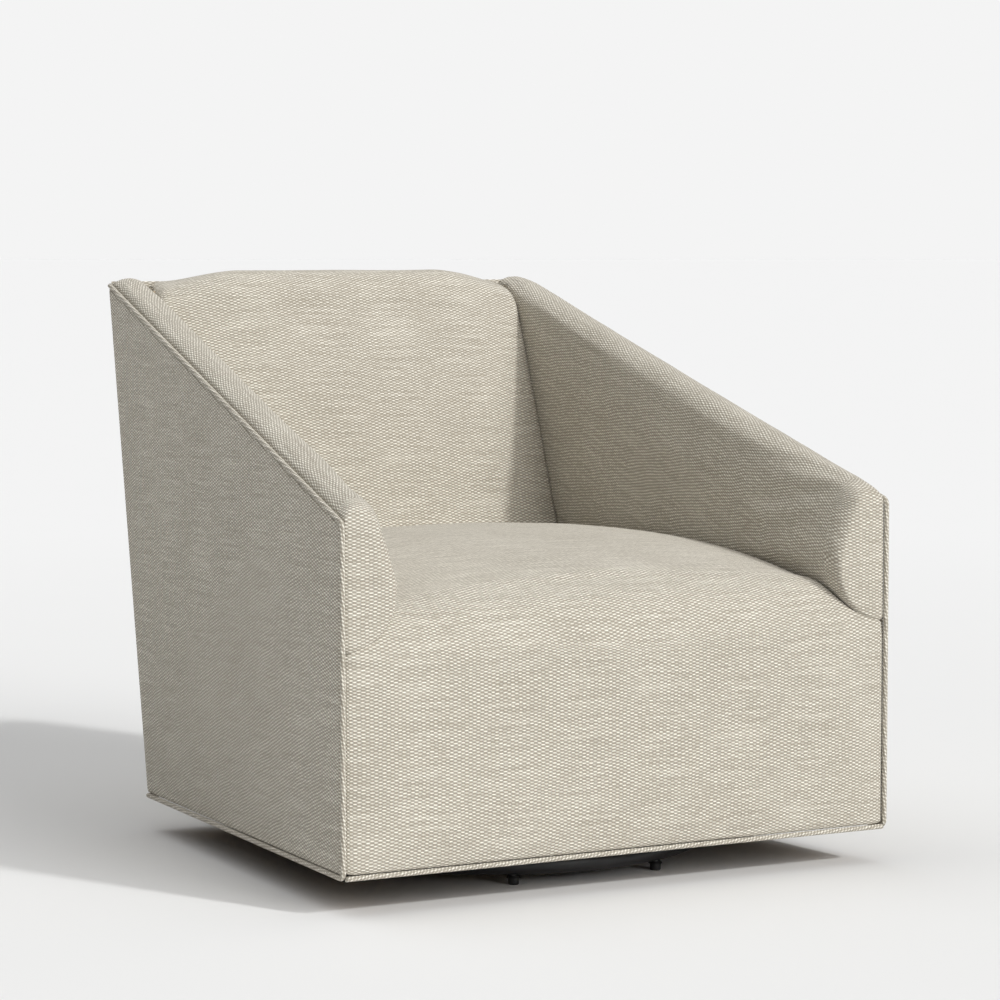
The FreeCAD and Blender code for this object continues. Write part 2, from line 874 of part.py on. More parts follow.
def make_spring_clips():
    """Folded steel clips that hold both ends of each wire to the rails' top edges."""
    clips = []
    ends = (front_rail_front + board / 2, front + spring_rail_depth + board / 2)
    for k in range(spring_count):
        x = (k - (spring_count - 1) / 2) * spring_spacing
        for y in ends:
            clip = box(x - clip_size / 2, x + clip_size / 2, y - clip_length / 2, y + clip_length / 2,
                       front_rail_top, front_rail_top + spring_wire + clip_cover)
            slot = box(x - clip_size, x + clip_size, y - spring_wire, y + spring_wire,
                       front_rail_top, front_rail_top + spring_wire + clip_play)
            clips.append(clip.cut(slot))
    return clips


def make_deck_cloth():
    y0 = front_rail_rear
    y1 = front + spring_rail_depth
    z0 = deck_height
    cloth = box(-front_width, front_width, y0, y1, z0, z0 + sheet)
    return between_sides(cloth, arm_thickness_front + cloth_margin)


def make_dust_cloth():
    y0, y1 = front_rail_rear, raked_end(bearer_top)[0] - board - cloth_gap
    cloth = box(-front_width, front_width, y0, y1, bearer_top, bearer_top + sheet)
    return between_sides(cloth, foam_inset)


def make_back_straps():
    """Webbing across the back frame, on the front of its rails and posts."""
    z0 = back_bottom + back_low_rail_height + strap_margin
    z1 = back_top_rail_top - back_top_rail_height - strap_margin
    pitch = (z1 - z0 - strap_width) / (strap_count - 1)
    inset = back_cover_thickness + board - strap_thickness
    straps = []
    for k in range(strap_count):
        low = z0 + k * pitch
        strap = rear_slab(inset, strap_thickness, front_width, low, low + strap_width)
        straps.append(between_sides(strap, foam_inset))
    return straps


save("seat_springs", make_seat_springs())
save("spring_clips", make_spring_clips())
save("deck_cloth", make_deck_cloth())
save("dust_cloth", make_dust_cloth())
save("back_straps", make_back_straps())


# Upholstery: foam shapes and the fabric over them

def side_frame_zone():
    """Space taken by the arm frame on the right side, with its gap."""
    grow = soft_gap
    zone = side_slab(frame_inset, board + grow, arm_rail_outline(grow))
    low = seat_bottom - 2 * open_past
    y0, y1 = front_rail_rear - grow, front_rail_rear + front_post_width + grow
    under = arm_rail_drop + arm_rail_height - overlap
    zone = zone.fuse(side_slab(frame_inset, board + grow, [
        (y0, low), (y1, low), (y1, panel_top(y1) - under), (y0, panel_top(y0) - under)]))
    inner = back_cover_thickness + back_post_width + grow
    return zone.fuse(side_slab(frame_inset, board + grow, [
        raked_end(low, -open_past), slope_meets_rear(under, -open_past), slope_meets_rear(under, inner),
        raked_end(low, inner)]))


def rear_frame_zone():
    """Space taken by the back frame between its posts, with its gap."""
    zone = rear_slab(-open_past, board + back_cover_thickness + open_past + soft_gap, front_width / 2,
                     seat_bottom - 2 * open_past, back_top_rail_top + soft_gap)
    return between_sides(zone, frame_inset)


def arm_wire(plane, inset, nose, past=0.0):
    """The right arm's section in a plane that gives y for a height: crown, inner face, bottom."""
    def at(along, z):
        y = plane(z)
        return V(along(y), y, z)

    def outer(y):
        return half_width(y) - frame_inset + past

    def crown(part):
        return lambda y: half_width(y) - frame_inset - part * (arm_crown_width - inset)

    def inner(y):
        return arm_inner(y) + inset

    top = arm_top_at(plane) - inset
    shoulder = top - arm_shoulder_drop + inset

    def waist(y):
        lean = crown(1)(y) - inner(y)
        return inner(y) + (0.5 - arm_shoulder_bulge) * lean

    steps = [(at(outer, top),)]
    steps.append((at(crown(0.5), top + arm_crown_rise), at(crown(1), top)))
    steps.append((at(waist, (top + shoulder) / 2), at(inner, shoulder)))
    if nose:
        steps.append((at(inner, arm_nose_top),))
        low = arm_nose_bottom + inset
        bend_z = arm_nose_top - math.sqrt(1 - (1 - arm_nose_knee) ** 2) * (arm_nose_top - low)

        def bend(y):
            return inner(y) + arm_nose_knee * (outer(y) - inner(y))

        steps.append((at(bend, bend_z), at(outer, low)))
    else:
        low = seat_bottom - past
        steps.append((at(inner, low),))
        steps.append((at(outer, low),))
    return closed_wire(steps)


def arm_top_at(plane):
    """Height of the panel's top edge where the plane crosses it."""
    low, high = 0, 2 * arm_rear_height
    for _ in range(60):
        middle = (low + high) / 2
        if middle < panel_top(plane(middle)):
            low = middle
        else:
            high = middle
    return (low + high) / 2


def upright_plane(y):
    return lambda z: y


def rear_plane(inset):
    return lambda z: rear_y(z) - inset


def arm_form(inset, past=0.0):
    """The right arm's padded form: a slab to the rear, and a nose that curls over the seat front.

    past carries the form on through its hidden faces, so that it opens what it is cut from.
    """
    face = front + side_cover_inset + inset
    shoulder = front_rail_rear
    slab = loft([arm_wire(upright_plane(shoulder), inset, False, past),
                 arm_wire(rear_plane(back_cover_thickness - past), inset, False, past)], True)
    nose = loft([arm_wire(upright_plane(face), inset + arm_nose_draw, True, past),
                 arm_wire(upright_plane(face + arm_nose_rounding), inset, True, past),
                 arm_wire(upright_plane(shoulder), inset, True, past)], True)
    return slab.fuse(nose)


def make_arm():
    """The right arm's foam and the cover round it, open against the frame."""
    zones = side_frame_zone().fuse(rear_frame_zone())
    padded = arm_form(0).cut(zones)
    cover = padded.cut(arm_form(cover_thickness, open_past))
    foam = padded.common(arm_form(cover_thickness + soft_gap, open_past))
    return cover, foam


def seat_wire(across, inset, past=0.0):
    """The seat pad's section at a share of the way from the middle to an arm."""
    swell = (1 - across * across) * seat_crown - inset
    y0 = front + side_cover_inset + inset
    low = seat_bottom - past

    def at(y, z):
        share = (arm_inner(y) - soft_gap - inset) * across
        return V(share, y, z)

    def rear(z):
        return back_face(z) - soft_gap - inset

    edge = seat_front_edge + seat_edge_swell * swell
    shelf = seat_side_height - seat_front_fall + seat_shelf_swell * swell
    top = seat_side_height + swell
    end = seat_side_height - seat_rear_fall + seat_rear_swell * swell
    round_y = front + seat_front_round
    knee_y = y0 + seat_knee_forward * (round_y - y0)
    knee_z = edge + seat_knee_up * (shelf - edge)
    middle = (round_y + rear(end)) / 2
    steps = [(at(y0, low),), (at(y0, edge),)]
    steps.append((at(knee_y, knee_z), at(round_y, shelf)))
    steps.append((at(middle, top), at(rear(end), end)))
    steps.append((at(rear(low), low),))
    return closed_wire(steps)


def seat_form(inset, past=0.0):
    return loft([seat_wire(across, inset, past) for across in seat_stations])


def make_seat():
    """The seat pad's foam and its cover, open underneath."""
    padded = seat_form(0)
    cover = padded.cut(seat_form(cover_thickness, open_past))
    foam = padded.common(seat_form(cover_thickness + soft_gap, open_past))
    return cover, foam


def border_form(inset, past=0.0):
    """The padded front, full width, under the arms' curled noses and the seat pad."""
    y0, y1 = front + side_cover_inset + inset, front_rail_rear + past
    low = body_bottom + welt_size + inset
    block = box(-front_width, front_width, y0, y1, low, arm_nose_top)
    block = between_sides(block, frame_inset + soft_gap + inset).common(fall_form(inset))
    y0, y1 = front_rail_front + past, y1 + overlap
    block = block.cut(box(-front_width, front_width, y0, y1, 0, front_rail_top + soft_gap))
    clear = arm_inner(front_rail_rear)
    block = block.cut(box(-clear, clear, y0, y1, 0, seat_bottom + soft_gap))
    grown = arm_form(-soft_gap - inset, overlap)
    return block.cut(grown).cut(mirrored(grown)).cut(seat_form(-soft_gap - inset))


def fall_form(inset):
    """Everything behind the seat's rounded front edge, full width."""
    y0 = front + side_cover_inset + inset
    edge = seat_front_edge - seat_edge_swell * inset
    shelf = seat_side_height - seat_front_fall - inset
    round_y = front + seat_front_round
    knee_y = y0 + seat_knee_forward * (round_y - y0)
    knee = V(-front_width, knee_y, edge + seat_knee_up * (shelf - edge))
    steps = [(V(-front_width, y0, 0),), (V(-front_width, y0, edge),), (knee, V(-front_width, round_y, shelf)),
             (V(-front_width, round_y, 0),)]
    return Part.Face(closed_wire(steps)).extrude(V(2 * front_width, 0, 0))


def make_border():
    """The front's foam and its cover, open against the front rail."""
    padded = border_form(0)
    cover = padded.cut(border_form(cover_thickness, open_past))
    foam = padded.common(border_form(cover_thickness + soft_gap, open_past))
    return cover, foam


def back_wire(across, inset, past=0.0):
    """The back pad's section at a share of the way from the middle to an arm."""
    swell = 1 - across * across
    past_corner = max(0.0, (abs(across) - back_corner_start) / (1 - back_corner_start))
    drawn = past_corner ** back_corner_power
    low = back_bottom + inset

    def at(y, z):
        return V((arm_inner(y) - soft_gap - inset) * across, y, z)

    def face(z):
        rise = (z - back_bottom) / (back_top_height - back_bottom)
        return back_face(z) + inset + back_side_draw * drawn * rise

    def rear(z):
        return rear_y(z) - back_cover_thickness + past

    roll = back_roll_start
    top = back_top_height - back_side_drop * drawn - inset
    seam = arm_rear_height - inset
    belly_start = seat_side_height + back_belly_rise
    belly_z = (belly_start + roll) / 2
    belly = face(belly_z) - back_side_bulge - (back_bulge - back_side_bulge) * swell
    depth = rear(seam) - face(roll)
    shoulder_y = face(roll) + back_shoulder_share * depth
    shoulder_z = roll + back_shoulder_up * (top - roll)
    ridge_y = face(roll) + back_ridge_share * depth
    steps = [(at(face(low), low),), (at(face(belly_start), belly_start),)]
    steps.append((at(belly, belly_z), at(face(roll), roll)))
    steps.append((at(shoulder_y, shoulder_z), at(ridge_y, top)))
    fall_y = (ridge_y + rear(seam)) / 2
    fall_z = (top + seam) / 2 + back_ridge_fullness
    steps.append((at(fall_y, fall_z), at(rear(seam), seam)))
    steps.append((at(rear(low), low),))
    return closed_wire(steps)


def back_form(inset, past=0.0):
    return loft([back_wire(across, inset, past) for across in back_stations])


def make_back():
    """The back pad's foam and its cover, open against the back frame."""
    padded = back_form(0).cut(rear_frame_zone())
    cover = padded.cut(back_form(cover_thickness, open_past))
    foam = padded.common(back_form(cover_thickness + soft_gap, open_past))
    return cover, foam


def make_side_cover():
    """The flat outer side panel, inside its welts."""
    edge = welt_size
    y0 = front + edge
    low = body_bottom + edge
    top = edge / math.cos(math.atan(panel_rise))
    outline = [(y0, low), raked_end(low, 0), slope_meets_rear(top, 0), (y0, panel_top(y0) - top)]
    return side_slab(side_cover_inset, side_cover_thickness, outline).cut(make_side_welt())


def make_outside_back():
    panel = rear_slab(0, back_cover_thickness, front_width, body_bottom + welt_size, arm_rear_height)
    return between_sides(panel, frame_inset + panel_gap)


def make_side_welt():
    """A round welt up the slope, down the front and along the bottom of the side panel."""
    radius = welt_size / 2

    def at(y, z):
        return V(half_width(y) - radius, y, z)

    y0 = front + radius
    low = body_bottom + radius
    drop = radius / math.cos(math.atan(panel_rise))
    path = rounded_path([at(*slope_meets_rear(drop, radius)), at(y0, panel_top(y0) - drop), at(y0, low),
                         at(*raked_end(low, radius))], welt_corner)
    return tube(path, radius)


def make_bottom_welts():
    """The welts under the front and the outside back, between the side welts."""
    radius = welt_size / 2
    low = body_bottom + radius
    welts = []
    for y in (front + radius, raked_end(low, radius)[0]):
        half = half_width(y) - welt_size - soft_gap
        welts.append(rod_x(radius, -half, half, y, low))
    return welts


seat_cover, seat_foam = make_seat()
border_cover, border_foam = make_border()
back_pad_cover, back_foam = make_back()
arm_cover, arm_foam = make_arm()
save("seat_cover", seat_cover)
save("seat_foam", seat_foam)
save("front_border_cover", border_cover)
save("front_border_foam", border_foam)
save("back_cover", back_pad_cover)
save("back_foam", back_foam)
save("arm_cover_right", arm_cover)
save("arm_cover_left", mirrored(arm_cover))
save("arm_foam_right", arm_foam)
save("arm_foam_left", mirrored(arm_foam))
save("side_panel_right", make_side_cover())
save("side_panel_left", mirrored(make_side_cover()))
save("outside_back", make_outside_back())
save("side_welt_right", make_side_welt())
save("side_welt_left", mirrored(make_side_welt()))
save("bottom_welts", make_bottom_welts())
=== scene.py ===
import math

import bmesh
import bpy
import numpy as np
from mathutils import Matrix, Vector, kdtree, noise


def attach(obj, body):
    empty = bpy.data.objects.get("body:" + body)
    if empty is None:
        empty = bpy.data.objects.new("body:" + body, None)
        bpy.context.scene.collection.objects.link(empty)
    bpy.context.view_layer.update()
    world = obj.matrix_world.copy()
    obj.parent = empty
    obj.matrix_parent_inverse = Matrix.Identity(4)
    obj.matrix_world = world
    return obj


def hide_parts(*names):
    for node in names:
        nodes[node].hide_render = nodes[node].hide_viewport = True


# An upholstered swivel rocker, seen from its front left. Metres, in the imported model's frame:
# the front faces -Y, +Z is up, and the floor is at zero.

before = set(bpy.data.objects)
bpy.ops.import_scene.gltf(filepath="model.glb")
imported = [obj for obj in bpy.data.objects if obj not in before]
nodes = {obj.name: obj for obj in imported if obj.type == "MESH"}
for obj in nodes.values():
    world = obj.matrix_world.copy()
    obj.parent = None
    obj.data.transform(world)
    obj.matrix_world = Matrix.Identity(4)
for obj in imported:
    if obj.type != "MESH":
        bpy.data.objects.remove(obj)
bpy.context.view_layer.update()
scene = bpy.context.scene

# Camera
camera_place = (-2.1807, -4.0384, 0.7997)
camera_turn = -28.966
camera_pitch = 4.243
camera_lens = 123.38

# Studio light
key_place = (1.333, -2.992, 2.296)
key_strength = 1.40
key_softness = 3.5
softbox_place = (0.9, -3.2, 1.5)
softbox_strength = 1.45
softbox_spread = 32
rear_light_place = (-1.0, 1.6, 2.2)
rear_light_strength = 0.60
rear_light_spread = 60
sky_low = 0.05
sky_high = 1.15
sky_power = 4.0
backdrop = (0.905, 0.905, 0.905)
floor_radius = 200
floor_sides = 96
floor_near = (0.825, 0.825, 0.82)
floor_far = (0.883, 0.883, 0.883)
floor_fade_start = 0.6
floor_fade_end = 5.0

# Outside of the upholstered body, over its welts
front_width = 0.790
rear_width = 0.698
base_depth = 0.700
overall_depth = 0.850
body_bottom = 0.0445
arm_front_height = 0.475
arm_rear_height = 0.750

# Covers and welts
welt_size = 0.0065
welt_corner = 0.009
side_cover_inset = 0.002
side_cover_thickness = 0.0045
back_cover_thickness = 0.0045
fabric_gap = 0.0004
welt_sides = 12
welt_spacing = 0.006
welt_corner_points = 8

# Arms
arm_thickness_front = 0.080
arm_thickness_rear = 0.057
arm_crown_width = 0.050
arm_crown_rise = 0.016
arm_shoulder_drop = 0.075
arm_shoulder_bulge = 0.08
arm_nose_top = 0.392
arm_nose_bottom = 0.316
arm_face_round = 0.030
arm_face_roll = 0.013
arm_roll_low = 0.345
arm_roll_high = 0.455
arm_welt_depth = 0.004
arm_welt_roll = 0.015
arm_nose_depth = 0.008
arm_nose_roll = 0.005
arm_face_dome = 0.0010
mitre_length = 0.040
mitre_reach = 1.2
mitre_depth = 0.0012
mitre_margin = 0.002
arm_rear_round = 0.05
arm_rear_drop = 0.6
welt_end = 0.003

# Points on each stretch of the arm's section, and rings over its face
arm_outer_points = 16
arm_crown_points = 14
arm_slope_points = 12
arm_inner_points = 14
arm_nose_points = 14
arm_smoothing = 3
arm_stations = 100
arm_edge_rings = 9
mitre_ring = 7
arm_face_rings = (0.15, 0.32, 0.5, 0.68, 0.85, 1.0)
arm_spine_low = 0.04
arm_spine_high = 0.035
arm_top_passes = 30

# Seat pad and the front under it
seat_front_edge = 0.312
seat_front_round = 0.075
seat_side_height = 0.404
seat_crown = 0.020
seat_front_fall = 0.032
seat_rear_fall = 0.022
seat_bottom = 0.304
seat_edge_swell = 0.3
seat_shelf_swell = 0.8
seat_rear_swell = 0.7
seat_knee_forward = 0.25
seat_knee_up = 0.66
seat_side_roll = 0.009
front_side_roll = 0.016
front_roll_depth = 0.28
nose_side_roll = 0.006
nose_tuck = 0.004
roll_change = 0.014
front_border_depth = 0.027

# Points on each stretch of the seat's section, and columns across it
seat_front_points = 36
seat_round_points = 16
seat_top_points = 76
seat_rear_points = 10
seat_under_points = 30
seat_border_points = 24
seat_foot_points = 3
seat_smoothing = 5
seat_columns = 96
seat_roll_steps = 5

# Back pad
back_face_depth = 0.665
back_face_height = 0.400
back_face_slope = 0.329
back_bulge = 0.016
back_side_bulge = 0.002
back_side_draw = 0.014
back_top_height = 0.768
back_side_drop = 0.022
back_corner_start = 0.6
back_corner_power = 1.6
back_roll_start = 0.712
back_bottom = 0.306
back_belly_rise = 0.040
back_shoulder_share = 0.28
back_shoulder_up = 0.86
back_ridge_share = 0.62
back_side_roll = 0.012
back_corner_roll = 0.026
back_top_crown = 0.002

# Points on each stretch of the back's section, and columns across it
back_low_points = 18
back_face_points = 36
back_shoulder_points = 12
back_top_points = 5
back_rear_points = 44
back_foot_points = 12
back_smoothing = 4
back_columns = 72
back_roll_steps = 6

# Side panels and outside back
panel_edge = 0.007
panel_dip = 0.0028
panel_puff = 0.0016
panel_columns = 84
panel_rows = 56
panel_height = 0.5
panel_slope_share = 1.05
rear_edge = 0.006
rear_dip = 0.0022
rear_puff = 0.0005
rear_steps = 70
rear_gap = 0.0001
edge_places = (0.0, 0.35, 0.75, 1.3, 2.2)

# Softness of the padding
fill_pressure = 4.0
fill_quality = 6
fill_frames = 20
cloth_mass = 0.4
cloth_stretch = 12
cloth_bending = 2
seat_fill_limit = 0.005
back_fill_limit = 0.005
arm_fill_limit = 0.003
slack_height = 0.0007
slack_length = 0.11
fine_slack_share = 0.5
fine_slack_scale = 2.6
pad_wall = 0.012
pad_seam = 0.01
held_columns = 6
panel_held = 3

# Weave: the spacing of the yarns along and across the cloth, their unevenness and colours
weave_length = 0.0053
weave_height = 0.0021
bias_turn = 38
bias_length = 0.0046
bias_height = 0.0024
yarn_wander = (0.005, 0.005, 0)
yarn_tremble = (0.0024, 0.0008, 0)
yarn_relief = 0.0009
yarn_taupe = (0.36, 0.322, 0.258)
yarn_cream = (0.96, 0.92, 0.815)

# Worked out from the values above
front = -overall_depth / 2
side_taper = (front_width - rear_width) / 2 / base_depth
panel_rise = (arm_rear_height - arm_front_height) / overall_depth
rear_rake = (overall_depth - base_depth) / (arm_rear_height - body_bottom)
frame_inset = side_cover_inset + side_cover_thickness
arm_taper = side_taper + (arm_thickness_rear - arm_thickness_front) / overall_depth
arm_face = front + side_cover_inset

# The row of an arm's grid where the rings over its face end and those of its edge begin
rim_row = len(arm_face_rings)


# Places on the body, as in the CAD

def half_width(y):
    """Half the body's width over the side welts, at depth y."""
    return front_width / 2 - side_taper * (y - front)


def panel_top(y):
    """Height of the side panel's sloped top edge at depth y."""
    return arm_front_height + panel_rise * (y - front)


def rear_y(z):
    """Depth of the raked rear face at height z."""
    return front + base_depth + rear_rake * (z - body_bottom)


def arm_inner(y):
    """Half the clear width between the arms at depth y."""
    return front_width / 2 - arm_thickness_front - arm_taper * (y - front)


def back_face(z):
    """Depth of the back pad's face at the arms, at height z."""
    return front + back_face_depth + back_face_slope * (z - back_face_height)


def slope_meets_rear(drop, inset):
    """Where a line this far under the panel's top edge meets the rear face, this far inside."""
    start = front + base_depth - inset
    rise = arm_front_height - panel_rise * front - drop - body_bottom
    y = (start + rear_rake * rise) / (1 - rear_rake * panel_rise)
    return y, panel_top(y) - drop


# Curves and grids of points

def line(start, end, count):
    """Evenly spaced points from start to end, with start left out."""
    start, end = np.array(start, float), np.array(end, float)
    return [start + (end - start) * k / count for k in range(1, count + 1)]


def arc(start, through, end, count):
    """Points along the arc from start to end, with start left out."""
    a, b, c = complex(*start), complex(*through), complex(*end)
    w = (c - a) / (b - a)
    centre = a + (b - a) * (w - abs(w) ** 2) / (w - w.conjugate())
    begin = np.angle(a - centre)
    turn = np.angle((c - centre) / (a - centre))
    half = np.angle((b - centre) / (a - centre))
    if half * turn < 0:
        turn -= math.copysign(2 * math.pi, turn)
    radius = abs(a - centre)
    angles = [begin + turn * k / count for k in range(1, count + 1)]
    return [np.array([centre.real + radius * math.cos(angle), centre.imag + radius * math.sin(angle)])
            for angle in angles]


def smoothed(points, passes):
    """The same run of points with its corners eased, its ends held."""
    points = np.array(points, float)
    for _ in range(passes):
        points[1:-1] = (points[:-2] + 2 * points[1:-1] + points[2:]) / 4
    return points


def lengths(points):
    """Distance along a run of points, from its first."""
    steps = np.linalg.norm(np.diff(points, axis=0), axis=-1)
    return np.concatenate([np.zeros((1,) + steps.shape[1:]), np.cumsum(steps, axis=0)])


def outward(section):
    """Unit normals of a closed section of (y, z) points that runs from the front over the top."""
    along = np.roll(section, -1, axis=0) - np.roll(section, 1, axis=0)
    along /= np.linalg.norm(along, axis=1)[:, None]
    return np.stack([-along[:, 1], along[:, 0]], axis=1)


def grid_piece(name, points, weave, round_rows=False, round_columns=False):
    """A mesh over a grid of points, with its open ends filled.

    weave holds a cloth coordinate for every point, with one more row or column where the grid
    closes on itself.
    """
    rows, columns = points.shape[:2]
    mesh = bpy.data.meshes.new(name)
    index = np.arange(rows * columns).reshape(rows, columns)
    faces = []
    corners = []
    for i in range(rows if round_rows else rows - 1):
        for j in range(columns if round_columns else columns - 1):
            near = [(i, j), (i, j + 1), (i + 1, j + 1), (i + 1, j)]
            faces.append([int(index[a % rows, b % columns]) for a, b in near])
            corners += [weave[a, b] for a, b in near]
    mesh.from_pydata(points.reshape(-1, 3).tolist(), [], faces)
    layer = mesh.uv_layers.new(name="weave")
    layer.data.foreach_set("uv", np.array(corners, float).ravel())
    fill = bmesh.new()
    fill.from_mesh(mesh)
    bmesh.ops.remove_doubles(fill, verts=fill.verts, dist=1e-6)
    ends = bmesh.ops.holes_fill(fill, edges=fill.edges, sides=0)["faces"]
    bmesh.ops.triangulate(fill, faces=ends, ngon_method="BEAUTY")
    bmesh.ops.recalc_face_normals(fill, faces=fill.faces)
    fill.to_mesh(mesh)
    fill.free()
    mesh.shade_smooth()
    piece = bpy.data.objects.new(name, mesh)
    scene.collection.objects.link(piece)
    return piece


# Softness: padding under pressure, and cloth that is never quite flat

def fill_out(piece, held, limit):
    """Blows the pad up a little as cloth. The held points stay, and none moves further than limit."""
    start = vertex_places(piece)
    group = piece.vertex_groups.new(name="held")
    group.add([int(k) for k in np.flatnonzero(held)], 1.0, "REPLACE")
    cloth = piece.modifiers.new("fill", "CLOTH")
    cloth.settings.quality = fill_quality
    cloth.settings.mass = cloth_mass
    cloth.settings.tension_stiffness = cloth_stretch
    cloth.settings.compression_stiffness = cloth_stretch
    cloth.settings.bending_stiffness = cloth_bending
    cloth.settings.vertex_group_mass = group.name
    cloth.settings.use_pressure = True
    cloth.settings.uniform_pressure_force = fill_pressure
    cloth.settings.effector_weights.gravity = 0
    for step in range(1, fill_frames + 1):
        scene.frame_set(step)
    shape = piece.evaluated_get(bpy.context.evaluated_depsgraph_get())
    end = vertex_places(shape)
    piece.modifiers.remove(cloth)
    piece.vertex_groups.remove(group)
    scene.frame_set(1)
    move = end - start
    far = np.linalg.norm(move, axis=1)[:, None]
    eased = limit * np.tanh(far / limit) / np.maximum(far, 1e-9)
    set_places(piece, start + move * eased)


def vertex_places(piece):
    """The places of all the piece's vertices, one in each row."""
    places = np.empty(len(piece.data.vertices) * 3)
    piece.data.vertices.foreach_get("co", places)
    return places.reshape(-1, 3)


def set_places(piece, places):
    """Moves all the piece's vertices."""
    piece.data.vertices.foreach_set("co", places.ravel())
    piece.data.update()


def ease_cloth(piece, held):
    """Low uneven swells, as in cloth pulled over padding, fading out at the held points."""
    places = vertex_places(piece)
    normals = np.empty_like(places).ravel()
    piece.data.vertices.foreach_get("normal", normals)
    normals = normals.reshape(-1, 3)
    for k in np.flatnonzero(~held):
        swell = noise.noise(Vector(places[k]) / slack_length)
        swell += fine_slack_share * noise.noise(Vector(places[k]) * fine_slack_scale / slack_length)
        places[k] += normals[k] * swell * slack_height
    set_places(piece, places)


def finish_pad(piece, material, nodes_replaced):
    """Covers a soft piece, rounds it off, and hides the CAD parts it stands for."""
    piece.data.materials.append(material)
    piece.modifiers.new("round", "SUBSURF").levels = 1
    piece.modifiers["round"].render_levels = 1
    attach(piece, "seat")
    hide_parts(*nodes_replaced)


# Node materials

class Material:
    """A node material under construction. Each call adds a node and returns one of its outputs."""

    def __init__(self, name):
        self.made = bpy.data.materials.new(name)
        self.made.use_nodes = True
        self.tree = self.made.node_tree
        self.shader = self.tree.nodes["Principled BSDF"]

    def add(self, kind, inputs, output=0, **settings):
        node = self.tree.nodes.new("ShaderNode" + kind)
        for name, value in settings.items():
            setattr(node, name, value)
        for name, value in inputs.items():
            self.put(node.inputs[name], value)
        return node.outputs[output]

    def put(self, socket, value):
        if isinstance(value, bpy.types.NodeSocket):
            self.tree.links.new(value, socket)
        else:
            socket.default_value = value

    def math(self, operation, first, second=0.0, third=0.0, clamp=False):
        return self.add("Math", {0: first, 1: second, 2: third}, operation=operation, use_clamp=clamp)

    def place(self, kind="Object"):
        return self.add("TexCoord", {}, kind)

    def stretched(self, vector, scale):
        return self.add("Mapping", {"Vector": vector, "Scale": scale})

    def noise(self, vector, scale, detail=2.0, roughness=0.5, output="Fac"):
        return self.add("TexNoise", {"Vector": vector, "Scale": scale, "Detail": detail,
                                     "Roughness": roughness}, output)

    def ramp(self, factor, low, high, to_low=0.0, to_high=1.0):
        return self.add("MapRange", {"Value": factor, "From Min": low, "From Max": high,
                                     "To Min": to_low, "To Max": to_high})

    def mix(self, factor, first, second):
        return self.add("Mix", {"Factor": factor, 6: first, 7: second}, 2, data_type="RGBA")

    def bump(self, height, distance, strength=1.0, under=None):
        inputs = {"Height": height, "Distance": distance, "Strength": strength}
        if under is not None:
            inputs["Normal"] = under
        return self.add("Bump", inputs)

    def surface(self, **inputs):
        """Sets the shader's sockets, by names with underscores for spaces."""
        for name, value in inputs.items():
            self.put(self.shader.inputs[name.replace("_", " ")], value)
        return self.made


def colour(red, green, blue):
    """A colour for a shader socket."""
    return (red, green, blue, 1.0)


